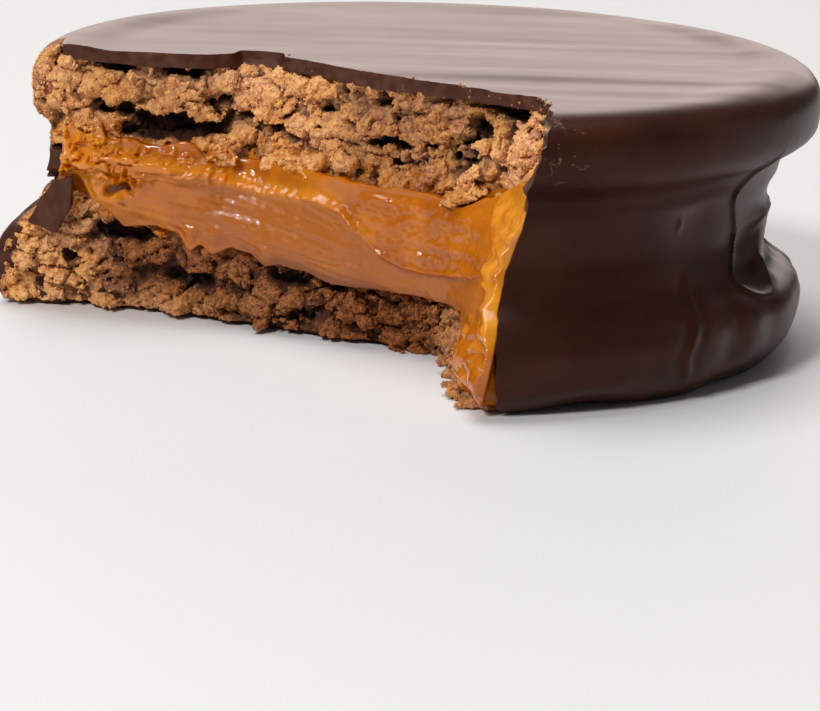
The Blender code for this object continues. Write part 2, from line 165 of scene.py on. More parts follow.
# The wet ridge along the filling's right edge, and the run of filling under it: heights, and the
# places where they start
RIDGE_HEIGHTS = (0, 0.75, 2.25, 3.5, 5.0, 6.5, 7.75, 9.25, 11.0, 12.75, 13.5)
RIDGE_STARTS = (11.4, 11.4, 11.4, 11.4, 11.4, 11.4, 11.15, 10.7, 10.15, 9.8, 9.75)
LEG_HEIGHTS = (0.0, 0.75, 2.25, 3.5, 4.4, 5.2)
LEG_STARTS = (10.7, 10.48, 10.53, 10.33, 9.95, 9.6)

# The heights between which the ridge stands, and the drop under the hole at the left
RIDGE_LEVELS = (5.2, 13.4)
DROP_PLACE = 2.97
DROP_HEIGHT = 9.5

# The crest of the main smear: places and heights
CREST_PLACES = (2.0, 3.5, 4.6, 5.5, 6.4, 6.85, 7.08, 7.3, 7.5, 7.9, 8.4, 9.5, 10.3, 12)
CREST_HEIGHTS = (12.7, 12.4, 11.6, 11.0, 11.1, 10.7, 9.5, 8.2, 7.3, 6.7, 6.6, 7.2, 8.0, 8.4)

# The shell's right broken edge: heights, and how far it reaches over the bite
LIP_HEIGHTS = (12.5, 13.4, 14.9, 15.9, 17.4, 19.2, 20.5)
LIP_REACH = (0.0, 0.15, 0.5, 0.95, 0.7, 0.3, 0.0)

# The broken piece of shell: corners as places along the bite and heights
FRAGMENT_CORNERS = ((2.2, 10.7), (1.95, 10.4), (1.56, 7.1), (2.02, 6.2), (2.22, 8.4))
FRAGMENT_THICKNESS = 0.9

# Which way the turned form's side faces: heights, and degrees above level
LEAN_HEIGHTS = (0, 2.0, 4.2, 6.0, 7.3, 8.0, 9.2, 10.5, 12, 14, 15.3, 16.2, 18)
LEAN_ANGLES = (-35, -15, 0, 28, 55, 72, 60, 25, 0, -30, -62, -40, 0)

# The run of chocolate that hangs from the rim on the right: heights, and its edges in degrees
RUN_HEIGHTS = (6.2, 6.8, 8.0, 9.2, 10.3, 11.8, 13.9, 15.5, 16.7)
RUN_LEFT = (-28.5, -31.5, -30.9, -27.7, -26.4, -27.9, -31.2, -30.9, -28.3)
RUN_RIGHT = (-21.0, -18.5, -17.5, -3.0, 3.0, 6.0, 10.0, 14.0, 16.0)

# The degrees between which the run and the folds lie, and the middle of the run's foot
RUN_ZONE = (-58, -6)
RUN_FOOT_ANGLE = -24.8
RUN_FOOT_HEIGHT = 8.0

# The upright fold to the left of the run: heights and degrees
FOLD_HEIGHTS = (0.8, 3.4, 6.8, 9.0)
FOLD_ANGLES = (-46.3, -48.2, -44.8, -41.5)

# What each sampled block spans: places along the bite, heights, and distances out of it
TOP_SPANS = ((0.9, 11.2), (11.7, 21.3), (-4.2, 1.9))
BASE_SPANS = ((0.9, 12.0), (-0.1, 9.6), (-4.0, 2.4))
FILLING_SPANS = ((1.9, 12.9), (0.2, 15.6), (-2.8, 1.9))
FRAGMENT_SPANS = ((1.3, 2.4), (6.2, 11.2), (0.2, 2.2))

# Cells of the noise lattice along each side, the spacing of samples, and the most triangles of a
# torn face
LATTICE = 64
CRUMB_STEP = 0.13
FILLING_STEP = 0.12
FRAGMENT_STEP = 0.1
MOST_TRIANGLES = 190000

# Loose crumbs: about how many, and their smallest and largest half widths
GRAIN_COUNT = 9000
GRAIN_SIZES = (0.06, 0.15)
RIM_CRUMB_COUNT = 40
RIM_CRUMB_SIZES = (0.04, 0.18)

# The floor's side in metres, and the camera: what it looks at, how far off and how high it stands,
# and how it leans and zooms
FLOOR_SIZE = 6
CAMERA_AIM = (0.96, -0.45, -2.9)
CAMERA_DISTANCE = 247.0
CAMERA_ELEVATION = 14.2
CAMERA_ROLL = 2.4
CAMERA_LENS = 138.29


# Shares, noise and nets

def ease(low, high, value):
    """0 below low, 1 above high, and a smooth rise between them."""
    share = np.clip((value - low) / (high - low), 0.0, 1.0)
    return share * share * (3 - 2 * share)


def between(low, high, soft, value):
    """1 from low to high, fading to 0 over the soft width on either side."""
    return ease(low - soft, low + soft, value) * (1 - ease(high - soft, high + soft, value))


def mix(first, second, share):
    return first + (second - first) * share


def bell(value, width):
    return np.exp(-(value / width) ** 2)


def lattice_key(cell):
    """Numbers the lattice's cells, which repeat after LATTICE of them."""
    x, y, z = (cell[..., axis] & (LATTICE - 1) for axis in range(3))
    return (x * LATTICE + y) * LATTICE + z


def soft_noise(points, seed):
    """Smooth noise from -1 to 1 in space, with a lattice of one unit."""
    table = np.random.default_rng(seed).uniform(-1, 1, LATTICE ** 3).astype(np.float32)
    points = np.asarray(points, dtype=np.float32)
    base = np.floor(points).astype(np.int32)
    share = points - base
    share = share * share * (3 - 2 * share)
    slabs = []
    for x in (0, 1):
        rows = []
        for y in (0, 1):
            near, far = (table[lattice_key(base + (x, y, z))] for z in (0, 1))
            rows.append(near + (far - near) * share[..., 2])
        slabs.append(rows[0] + (rows[1] - rows[0]) * share[..., 1])
    return slabs[0] + (slabs[1] - slabs[0]) * share[..., 0]


def layered_noise(points, seed, layers=3):
    """Several layers of soft noise, each of half the size and half the strength of the last."""
    total, strength = 0.0, 1.0
    for layer in range(layers):
        total = total + strength * soft_noise(points * 2 ** layer, seed + layer)
        strength /= 2
    return total


def lumpy_noise(points, seed, layers=3):
    """Rounded lumps with sharp creases between them, in several sizes, about -1 to 1."""
    total, strength = 0.0, 1.0
    for layer in range(layers):
        lump = np.abs(soft_noise(points * 2 ** layer, seed + layer)) * 2.6 - 0.62
        total = total + strength * lump
        strength *= 0.58
    return total


def cell_noise(points, seed):
    """For scattered seeds, one to a unit: distances to the nearest two, and the nearest's lot."""
    dice = np.random.default_rng(seed)
    spots = dice.random((LATTICE ** 3, 3), dtype=np.float32)
    lots = dice.random(LATTICE ** 3, dtype=np.float32)
    points = np.asarray(points, dtype=np.float32)
    base = np.floor(points).astype(np.int32)
    share = points - base
    nearest = np.full(len(points), 9.0, dtype=np.float32)
    second = nearest.copy()
    owner = np.zeros(len(points), dtype=np.int32)
    for offset in product((-1, 0, 1), repeat=3):
        key = lattice_key(base + np.array(offset, dtype=np.int32))
        away = spots[key] + (np.array(offset, dtype=np.float32) - share)
        away = np.einsum("ij,ij->i", away, away)
        closer = away < nearest
        second = np.where(closer, nearest, np.minimum(second, away))
        owner = np.where(closer, key, owner)
        nearest = np.minimum(nearest, away)
    return np.sqrt(nearest), np.sqrt(second), lots[owner]


def surface_net(field):
    """Corners, in sample steps, and outward four-sided faces of the skin round what is above 0."""
    field = np.pad(field, 1, constant_values=-1.0)
    inside = field > 0
    cells = tuple(size - 1 for size in field.shape)
    filled = np.zeros(cells, dtype=np.int8)
    for corner in product((0, 1), repeat=3):
        filled += inside[tuple(slice(step, step + size) for step, size in zip(corner, cells))]
    crossed = (filled > 0) & (filled < 8)
    number = np.full(cells, -1)
    number[crossed] = np.arange(crossed.sum())
    place = np.argwhere(crossed)
    total = np.zeros((len(place), 3))
    hits = np.zeros(len(place))
    for axis in range(3):
        ahead = np.eye(3, dtype=int)[axis]
        for corner in product((0, 1), repeat=3):
            if corner[axis]:
                continue
            start = place + corner
            low, high = field[tuple(start.T)], field[tuple((start + ahead).T)]
            cross = (low > 0) != (high > 0)
            share = np.where(cross, low / np.where(cross, low - high, 1), 0)
            total += cross[:, None] * (corner + ahead * share[:, None])
            hits += cross
    corners = place + total / hits[:, None] - 1
    faces = []
    for axis in range(3):
        right, up = np.eye(3, dtype=int)[(axis + 1) % 3], np.eye(3, dtype=int)[(axis + 2) % 3]
        leaving = np.diff(inside.astype(np.int8), axis=axis)
        for sign in (-1, 1):
            edge = np.argwhere(leaving == sign)
            ring = [number[tuple((edge - step).T)] for step in (right + up, up, 0 * up, right)]
            faces.append(np.stack(ring[::-sign], axis=1))
    return corners, np.concatenate(faces)


def attached(field, rooted):
    """Drops filled samples that touch nothing rooted, so that no crumb hangs in the air."""
    filled = field > 0
    kept = filled & rooted
    count = 0
    while kept.sum() > count:
        count = kept.sum()
        for _ in range(8):
            for axis in range(3):
                ahead = [slice(None)] * 3
                behind = [slice(None)] * 3
                ahead[axis], behind[axis] = slice(1, None), slice(None, -1)
                ahead, behind = tuple(ahead), tuple(behind)
                kept[ahead] |= kept[behind] & filled[ahead]
                kept[behind] |= kept[ahead] & filled[behind]
    return np.where(filled & ~kept, -0.05, field)


# The turned form

def lobe_arc(centre, width, height, start, end, steps, square=1.0):
    """Points of a flattened circle's arc, top to bottom. A square under 1 fills its corners."""
    angle = np.radians(np.linspace(start, end, steps + 1))
    across = np.maximum(np.cos(angle), 0) ** square
    up = np.sign(np.sin(angle)) * np.abs(np.sin(angle)) ** square
    return np.stack((centre[0] + width * across, centre[1] + height * up), axis=1)


def waist_curve(top, bottom, middle, steps):
    """Points of the hollow curve that joins the two lobes, middle wide halfway down."""
    pull = middle * 4 / 3 - (top[0] + bottom[0]) / 6
    share = np.linspace(0, 1, steps + 1)[1:-1]
    rest = 1 - share
    radius = rest ** 3 * top[0] + 3 * rest * share * pull + share ** 3 * bottom[0]
    return np.stack((radius, mix(top[1], bottom[1], share)), axis=1)


def dipped_profile(skin, fine, top_rows):
    """Half section from near the middle of the top down to near the middle of the base."""
    rim_centre = (RIM_RADIUS - RIM_ROUND, RIM_HEIGHT)
    depth = TOP_HEIGHT - RIM_HEIGHT - skin
    rim = lobe_arc(rim_centre, RIM_ROUND - skin, depth, 90, 0, 14 * fine, RIM_SQUARE)
    under = lobe_arc(rim_centre, RIM_ROUND - skin, RIM_UNDERCUT - skin, 0, -64, 9 * fine, RIM_SQUARE)
    bulge_centre = (BULGE_RADIUS - BULGE_ROUND, BULGE_HEIGHT)
    crown = lobe_arc(bulge_centre, BULGE_ROUND - skin, BULGE_CROWN - skin, 68, 0, 11 * fine)
    drop = math.degrees(math.asin((BULGE_HEIGHT - skin) / FOOT_DROP))
    foot = lobe_arc(bulge_centre, BULGE_ROUND - skin, FOOT_DROP, 0, -drop, 11 * fine)
    waist = waist_curve(under[-1], crown[0], WAIST_RADIUS - 0.85 * skin, 18 * fine)
    top = np.linspace(0, rim[0][0], top_rows, endpoint=False)[1:]
    top = np.stack((top, np.full(len(top), TOP_HEIGHT - skin)), axis=1)
    base = np.array([(FLAT_RADIUS * share, skin) for share in (1, 0.85, 0.6, 0.3)])
    side = np.concatenate((rim, under[1:], waist, crown, foot[1:]))
    for _ in range(3 * fine * fine):
        side[1:-1] = (side[:-2] + 2 * side[1:-1] + side[2:]) / 4
    return np.concatenate((top, side, base))


def turn_angles(fine):
    """Degrees round the cookie, more than twice as close where the run and the folds are."""
    first, last = RUN_ZONE
    coarse = np.linspace(last, first + 360, round(400 * fine), endpoint=False)
    close = np.linspace(first, last, round(170 * fine), endpoint=False)
    return np.concatenate((close, coarse))


def even_angles(count):
    return np.linspace(0, 360, count, endpoint=False)


def settle(points):
    """Moves points of the turned form to their places on the uneven cookie."""
    x, y, z = points[..., 0], points[..., 1], points[..., 2]
    angle, radius = np.arctan2(y, x), np.hypot(x, y)
    outer = ease(15, 25, radius)
    left, right = (np.maximum(0, side * np.cos(angle)) ** 3 for side in (-1, 1))
    raised = ease(23, 27, radius) * ease(16, 19, z) * (left * LEFT_CORNER + right * RIGHT_CORNER)
    dip = right * RIGHT_DIP * between(6, 9, 1.5, z)
    radius = radius + outer * side_spread(angle, z)
    x = radius * np.cos(angle) + TOP_SHIFT * ease(6, 16, z)
    y = radius * np.sin(angle)
    z = z + cookie_lift(x, y) * ease(8, 18, z) + outer * (raised - dip)
    return np.stack((x + OUTLINE_SHIFT[0], y + OUTLINE_SHIFT[1], z), axis=-1)


def side_spread(angle, z):
    """How far the cookie's side stands out from the turned form."""
    left, right = (np.maximum(0, side * np.cos(angle)) ** 3 for side in (-1, 1))
    waist = between(WAIST_LOW, WAIST_HIGH, 2, z)
    toe = 1 - ease(0, 3.5, z)
    spread = WOBBLE * (np.cos(2 * angle - 0.4) + 0.6 * np.cos(3 * angle + 0.7))
    spread = spread + left * (mix(LEFT_SPREAD, LEFT_SQUEEZE, waist) + LEFT_TOE * toe)
    return spread + right * mix(RIGHT_SPREAD * (1 - ease(7, 9, z)), RIGHT_SQUEEZE, waist)


def cookie_lift(x, y):
    """The top face tilts a little, and rises at the back."""
    return x * TOP_TILT + BACK_LIFT * ease(0, RIM_RADIUS, y)


def depths_inside(points, side_profile):
    """About how deep the points lie under the cookie's side, and under its top."""
    x = points[..., 0] - OUTLINE_SHIFT[0]
    y = points[..., 1] - OUTLINE_SHIFT[1]
    z = points[..., 2]
    lift = cookie_lift(x, y) * ease(8, 18, z)
    x = x - TOP_SHIFT * ease(6, 16, z)
    angle = np.arctan2(y, x)
    left = np.maximum(0, -np.cos(angle)) ** 3 * ease(23, 27, np.hypot(x, y))
    raised = left * LEFT_CORNER * ease(16, 19, z)
    heights, radii = side_profile
    side = np.interp(z - lift - raised, heights, radii) + side_spread(angle, z)
    return side - np.hypot(x, y), TOP_HEIGHT + lift + raised - z


def outer_side():
    """Heights and radii of the outer profile, for depths_inside."""
    profile = dipped_profile(0, 2, 4)
    order = np.argsort(profile[:, 1], kind="stable")
    outer = profile[order]
    outer = outer[outer[:, 0] > 20]
    return outer[:, 1], outer[:, 0]


# The chocolate's own shapes

def run_shape(angle, z):
    """The run that hangs from the rim: a flat tongue with a beaded edge and a round foot."""
    left = np.interp(z, RUN_HEIGHTS, RUN_LEFT)
    right = np.interp(z, RUN_HEIGHTS, RUN_RIGHT)
    inside = ease(left - 0.3, left + 0.5, angle) * (1 - ease(right - 3, right + 6, angle))
    tall = ease(7.4, 8.6, z) * (1 - ease(13.6, 16.2, z))
    away = np.hypot((angle - RUN_FOOT_ANGLE) / 6.2, (z - RUN_FOOT_HEIGHT) / 1.75)
    foot = 1 - ease(0.8, 1.1, away)
    rolled = bell(away - 0.92, 0.13) * (1 - ease(7.6, 8.4, z))
    bead = bell(angle - left - 0.5, 0.4) * ease(7.4, 8.2, z) * (1 - ease(15.6, 17, z))
    hollow = bell(z - 8.3, 0.55) * bell(angle + 24, 3.0)
    thick = ease(left + 2, left + 15, angle) * (1 - ease(4, 26, angle)) * inside
    thick = thick * ease(6.6, 7.8, z) * (1 - ease(13.2, 15.4, z)) * (0.45 + 0.8 * bell(z - 9.5, 2.0))
    return 0.1 * np.maximum(inside * tall, foot) + thick + 0.24 * bead + 0.16 * rolled - 0.3 * hollow


def fold_shape(angle, z):
    """Upright folds in the lower lobe, left of and under the run."""
    fold = np.interp(z, FOLD_HEIGHTS, FOLD_ANGLES)
    low = between(1.4, 8.6, 1.0, z)
    ridge = 0.15 * bell(angle - fold, 0.8) - 0.1 * bell(np.abs(angle - fold) - 1.8, 1.0)
    valley = -0.3 * bell(angle + 38.0 - 0.5 * (z - 4), 3.0) * between(2.2, 7.0, 1.4, z)
    swells = 0.16 * bell(angle + 32.5, 3.2) - 0.1 * bell(angle + 27, 2.5) + 0.12 * bell(angle + 20, 5)
    faint = 0.05 * bell(angle + 60, 3) + 0.07 * bell(angle + 79, 4)
    return (ridge + faint) * low + valley + swells * between(1.8, 6.2, 1.2, z)


def waist_shape(angle, z):
    """The waist's sagging skin: a hollow with a pointed bubble, and soft level folds."""
    hollow = -0.6 * bell(angle + 39, 7.5) * bell(z - 12.4, 2.0)
    bubble = 0.22 * bell(angle + 43.5, 0.8) * bell(z - 12.0, 0.35)
    sag = z + 0.6 * np.sin(np.radians(angle * 2.3 + 40))
    levels = 0.05 * np.sin(sag * 1.9) * between(9.4, 14.6, 1.2, z)
    crease = -0.16 * bell(sag - 15.6, 0.9) + 0.08 * bell(sag - 14.2, 0.9)
    return hollow + bubble + levels + crease


def back_runs(angle, z):
    """Slow drips and swells round the sides and back, as poured chocolate leaves them."""
    turn = np.radians(angle)
    around = np.stack((5 * np.cos(turn), 5 * np.sin(turn), z * 0.12), axis=-1)
    swell = 0.26 * layered_noise(around, 71, 2)
    drips = np.maximum(0, soft_noise(np.stack((9 * np.cos(turn), 9 * np.sin(turn), z * 0.07), -1), 74))
    front = ease(-100, -62, angle) * (1 - ease(-15, 12, angle))
    low = between(1.5, 16.5, 1.5, z)
    return (swell * low + 0.75 * drips ** 2 * between(3, 15, 1.5, z)) * (1 - 0.85 * front)


def foot_lift(angle, radius, z):
    """The foot's wavy lower edge, as the chocolate set on the rack."""
    waves = 0.5 * bell(angle + 63, 7) + 0.28 * bell(angle + 36, 5) - 0.1 * bell(angle + 45, 3)
    turn = np.radians(angle)
    rest = 0.35 + 0.35 * soft_noise(np.stack((6 * np.cos(turn), 6 * np.sin(turn), 0 * turn), -1), 81)
    front = ease(-100, -75, angle) * (1 - ease(-20, 5, angle))
    edge = ease(FLAT_RADIUS, FLAT_RADIUS + 2.2, radius) * (1 - ease(0, 2.6, z))
    return edge * mix(rest, 0.2 + waves, front)


def top_ripples(x, y):
    """Long, low ripples across the top face, left by the air knife that thins the coating."""
    here = np.stack((x * 0.02, y * 0.24 + 0.008 * x, 0 * x + 2.5), axis=-1)
    fine = np.stack((x * 0.025 + 4, y * 0.55 + 0.02 * x, 0 * x + 7.5), axis=-1)
    strength = 0.35 + 0.65 * ease(-12, 8, x)
    return strength * (0.15 * soft_noise(here, 91) + 0.04 * soft_noise(fine, 95))


def drape(points):
    """The chocolate's own shapes, on points of the turned form."""
    x, y, z = points[..., 0], points[..., 1], points[..., 2]
    angle, radius = np.degrees(np.arctan2(y, x)), np.hypot(x, y)
    side = ease(25, 27, radius)
    grow = run_shape(angle, z) + fold_shape(angle, z) + waist_shape(angle, z) + back_runs(angle, z)
    fine = 0.018 * layered_noise(points / 1.7, 61, 2)
    lean = np.radians(np.interp(z, LEAN_HEIGHTS, LEAN_ANGLES))
    radius = radius + side * (grow + fine) * np.cos(lean)
    rise = foot_lift(angle, radius, z) + side * grow * np.sin(lean)
    rise = rise + (1 - ease(25, 29, radius)) * ease(19, 20.5, z) * top_ripples(x, y)
    turn = np.radians(angle)
    return np.stack((radius * np.cos(turn), radius * np.sin(turn), z + rise), axis=-1)


# The bite

def smooth_line(points, place):
    """Catmull-Rom curve through the points, where place counts the points passed."""
    points = np.asarray(points, dtype=float)
    last = len(points) - 1
    place = np.clip(place, 0, last - 1e-6)
    index = place.astype(int)
    share = (place - index)[..., None]
    a, b, c, d = (points[np.clip(index + step, 0, last)] for step in (-1, 0, 1, 2))
    bend = (2 * a - 5 * b + 4 * c - d) * share ** 2 + (3 * b - a - 3 * c + d) * share ** 3
    return (2 * b + (c - a) * share + bend) / 2


def bite_line(place, height):
    share = ease(0, TOP_HEIGHT, height)[..., None]
    return mix(smooth_line(BITE_BASE, place), smooth_line(BITE_TOP, place), share)


def bite_frame(place, height):
    """Points of the bitten face in plan, and the way out of the cookie there."""
    along = bite_line(place + 0.4, height) - bite_line(place - 0.4, height)
    outward = np.stack((along[..., 1], -along[..., 0]), axis=-1)
    outward /= np.linalg.norm(outward, axis=-1, keepdims=True)
    return bite_line(place, height) + OUTLINE_SHIFT, outward


def bite_point(place, height, proud):
    """Points of the bitten face, moved out of the cookie by proud."""
    place, height, proud = np.broadcast_arrays(*np.atleast_1d(place, height, proud))
    here, outward = bite_frame(place, height)
    return np.concatenate((here + outward * proud[..., None], height[..., None]), axis=-1)


def face_spots(place, height):
    """Spots of the bitten face laid flat, in millimetres, for noise to run along."""
    return np.stack((place * PLACE_LENGTH, height, 0 * place), axis=-1)


def bumps(place, height, listed):
    """How far the listed lumps or hollows reach at each spot of the bitten face."""
    reach = np.zeros(np.shape(place))
    spots = np.stack((place * PLACE_LENGTH / 1.1, height / 1.1, 0 * place), axis=-1)
    place = place + 0.09 * layered_noise(spots, 21, 2)
    height = height + 0.45 * layered_noise(spots, 25, 2)
    for centre, level, width, tall, far in listed:
        away = ((place - centre) / width) ** 2 + ((height - level) / tall) ** 2
        reach = np.maximum(reach, far * np.clip(1.25 - away, 0, 1) ** 0.7)
    return reach


def base_setback(place):
    """The lower biscuit broke off further in, except at the cookie's left end."""
    return mix(LEFT_SETBACK, BASE_SETBACK, ease(2.4, 4.2, place))


def filling_floor(x):
    """The lower biscuit's top, pressed up at the cookie's left end."""
    return FILLING_FLOOR + LEFT_RISE * (1 - ease(-27, -18, x))


def filling_ceiling(x):
    """The top biscuit's underside, higher at both ends of the bite."""
    return FILLING_CEILING + 1.2 * (1 - ease(-22, -15, x)) + 1.6 * ease(2, 9, x)


class BittenBlock:
    """A block of samples over the bitten face: places along it, heights, and distances out."""

    def __init__(self, places, heights, prouds, step):
        self.start = np.array([places[0], heights[0], prouds[0]])
        self.step = np.array([step / PLACE_LENGTH, step, step])
        counts = [round((high - low) / size) + 1
                  for (low, high), size in zip((places, heights, prouds), self.step)]
        axes = [start + size * np.arange(count)
                for start, size, count in zip(self.start, self.step, counts)]
        self.place, self.height, self.proud = np.meshgrid(*axes, indexing="ij")
        here, outward = bite_frame(self.place[:, :, 0], self.height[:, :, 0])
        plan = here[:, :, None] + outward[:, :, None] * self.proud[..., None]
        self.points = np.concatenate((plan, self.height[..., None]), axis=-1)

    def net(self, field):
        """Points in space, faces, and (place, height, proud) of the skin round the field."""
        corners, faces = surface_net(field)
        spots = self.start + corners * self.step
        return bite_point(*spots.T), faces, spots


def sample_step(full):
    return full


# The torn crumb

def crumb_field(block, face, low, high, skin, seed):
    """Filled space of a biscuit's torn face: lumps, cracks, cavities and grains round its face."""
    field = face - block.proud
    limit = np.minimum(np.minimum(block.height - low, high - block.height), skin)
    near = (field > -1.5) & (field < 2.6) & (limit > -0.4)
    points = block.points[near].astype(np.float32)
    flat = points * np.float32((1.0, 1.0, 1.25))
    bend = np.stack([soft_noise(points / 1.4, seed + 20 + axis) for axis in range(3)], axis=-1)
    clump, next_clump, lot = cell_noise((flat + 0.5 * bend) / 1.9, seed + 5)
    lump, next_lump, lump_lot = cell_noise((flat + 0.3 * bend) / 0.8, seed + 9)
    sugar, _, sugar_lot = cell_noise((points + 0.08 * bend) / 0.3, seed + 8)
    rough = 0.3 * lumpy_noise((flat + 0.5 * bend) / 2.6, seed, 3)
    rough += 0.9 * (0.6 - clump) + 0.8 * (lot - 0.5) - 0.5 * bell(next_clump - clump, 0.1)
    rough += 0.5 * (0.5 - lump) + 0.4 * (lump_lot - 0.5) - 0.28 * bell(next_lump - lump, 0.1)
    rough += 0.34 * (0.5 - sugar) + 0.16 * (sugar_lot - 0.5)
    rough -= 1.0 * ease(0.4, 0.8, layered_noise(flat / 2.0, seed + 13, 3))
    field[near] += rough
    return attached(np.minimum(field, limit), block.proud < block.proud.min() + 1.0)


def crumb_shade(spots, face, hollows):
    """How deep each corner of a torn face lies, from 0 on its tips to 1 in its pits."""
    hollow = bumps(spots[:, 0], spots[:, 1], hollows)
    level = face(spots[:, 0], spots[:, 1]) + hollow
    return np.clip((level + 0.1 - spots[:, 2]) / 1.7, 0, 1)


def crumb_tints(points):
    """Where shade is painted on the crumb as a browner tint, and where filling soaked into it, 0 to 1."""
    x, z = points[:, 0], points[:, 2]
    upper = ease(9, 11, z)
    ridge_side = 7 - 4 * (1 - ease(17.0, 18.5, z))
    # Painted shade on the top biscuit's face, strongest left of the sugary ridge, and on the lower
    # biscuit's face from its middle to the right, under the filling's overhang; less of it along the
    # bottom and near the run's foot.
    middle = 0.45 * between(-5, ridge_side, 2, x) + 0.2 * between(-24, -15, 2, x)
    low = 0.85 * ease(-26, -21, x) + 0.15 * ease(-12, 2, x)
    low = low * (1 - 0.5 * (1 - ease(1.2, 2.6, z)) * (1 - ease(-18, -11, x)))
    low = low * (1 - 0.45 * ease(1.5, 4.0, x) * (1 - ease(3.5, 5.5, z)))
    shade_and_brown = mix(low, middle, upper)
    gap = np.where(z > 11, z - filling_ceiling(x), filling_floor(x) - z)
    return shade_and_brown, (1 - ease(0.2, 2.8, gap)) * (1 - 0.85 * ease(2, 5, x))


def net_curve(points, faces):
    """How far each corner stands out from its neighbours, about -1 to 1."""
    around = np.zeros_like(points)
    count = np.zeros(len(points))
    for first, second in ((0, 1), (1, 2), (2, 3), (3, 0)):
        for near, far in ((first, second), (second, first)):
            for axis in range(3):
                around[:, axis] += np.bincount(faces[:, near], points[faces[:, far], axis], len(points))
            count += np.bincount(faces[:, near], minlength=len(points))
    edge_a = points[faces[:, 2]] - points[faces[:, 0]]
    edge_b = points[faces[:, 3]] - points[faces[:, 1]]
    flat = np.cross(edge_a, edge_b)
    normal = np.zeros_like(points)
    for corner in range(4):
        for axis in range(3):
            normal[:, axis] += np.bincount(faces[:, corner], flat[:, axis], len(points))
    normal /= np.linalg.norm(normal, axis=1, keepdims=True) + 1e-9
    return ((points - around / count[:, None]) * normal).sum(axis=1)


def top_face(place, height):
    """How far the top biscuit's torn face stands out."""
    lumps, hollows = bumps(place, height, TOP_LUMPS), bumps(place, height, TOP_HOLLOWS)
    tongue = bell(place - np.interp(height, TONGUE_HEIGHTS, TONGUE_PLACES), 0.21)
    tongue *= np.interp(height, TONGUE_HEIGHTS, TONGUE_REACH) * between(12.1, 19.0, 0.4, height)
    return 0.05 - TOP_SETBACK + np.maximum(lumps, tongue) - hollows


def base_face(place, height):
    """How far the lower biscuit's torn face stands out."""
    lumps, hollows = bumps(place, height, BASE_LUMPS), bumps(place, height, BASE_HOLLOWS)
    return 0.05 - base_setback(place) + lumps - hollows


def top_crumb_floor(x):
    """The top biscuit's underside, lower at the cookie's left end, where the shell broke away."""
    return filling_ceiling(x) - 0.6 - 0.8 * (1 - ease(-28.6, -26.5, x))


def top_crumb_ceiling(x):
    return 0 * x + CRUMB_TOP


def base_crumb_floor(x):
    """The lower biscuit's underside, which sags at the right, where the shell ends."""
    return 0.4 - 0.35 * ease(-3, 1, x)


def base_crumb_ceiling(x):
    return filling_floor(x) + 0.1


# The smeared filling

def smear_low(place):
    """The lower edge of the smeared filling, with its drips, down to the run at the right."""
    lip = mix(7.9, 3.7, ease(1.5, 9.2, place)) + 2.9 * (1 - ease(2.2, 2.7, place))
    for spot, width, drop in SMEAR_DRIPS:
        lip = lip - drop * bell(place - spot, width)
    return mix(lip, SMEAR_FOOT, ease(9.75, 10.1, place))


def smear_high(place):
    """The upper edge of the smeared filling."""
    high = 12.7 + 1.2 * (1 - ease(3.0, 4.3, place)) + 2.2 * ease(9.0, 10.4, place)
    high = high + 0.6 * bell(place - 2.1, 0.2) + 0.7 * bell(place - 2.5, 0.12)
    high = high + 1.0 * bell(place - 3.85, 0.3)
    return high - 0.7 * bell(place - 8.75, 0.25)


def lip_height(place):
    """The crest of the main smear, which falls away at the right where the knife-flat part ends."""
    return np.interp(place, CREST_PLACES, CREST_HEIGHTS)


def leg_share(place, height):
    """1 on the foot of the run at the right, and 0 above and beside it."""
    return ease(10.0, 10.5, place) * (1 - ease(4.2, 6.0, height))


def past_ridge(place, height):
    """How many places a spot lies beyond the wet ridge's edge."""
    return place - np.interp(height, RIDGE_HEIGHTS, RIDGE_STARTS)


def hole_share(place, height):
    """The small ragged hole in the smear near the cookie's left end."""
    spots = face_spots(place, height) / 0.8
    across = (place - 2.88) / 0.18 + 0.8 * layered_noise(spots, 159, 2)
    up = (height - 9.85) / 0.42 + 0.8 * layered_noise(spots, 163, 2)
    return np.exp(-(across ** 2 + up ** 2) ** 2)


def smear_zones(place, height):
    """Shares of the smear's left part, of what lies above its crest, and of what is left of the run."""
    upper = ease(-0.3, 0.3, height - lip_height(place))
    return 1 - ease(6.9, 7.4, place), upper, 1 - ease(9.5, 10.3, place)


def smear_levels(place, height):
    """The smear's broad form: a rolled crest at the left, and a step down to the shelf at the right."""
    left, upper, before_run = smear_zones(place, height)
    above = height - lip_height(place)
    roll = 1 - ease(4.3, 5.3, place)
    proud = mix(0.72, 0.42, ease(9.0, 10.5, place))
    proud = proud + 0.3 * (1 - ease(4.5, 6.5, place)) * ease(2.6, 3.4, place)
    proud = proud - 0.5 * left * upper
    proud = proud + left * (0.2 + 0.4 * roll) * bell(above + 0.25 + 0.25 * roll, 0.3 + 0.5 * roll)
    proud = proud - 0.42 * (1 - left) * before_run * (1 - upper)
    return proud + 0.16 * (1 - left) * before_run * bell(above - 0.15, 0.22)


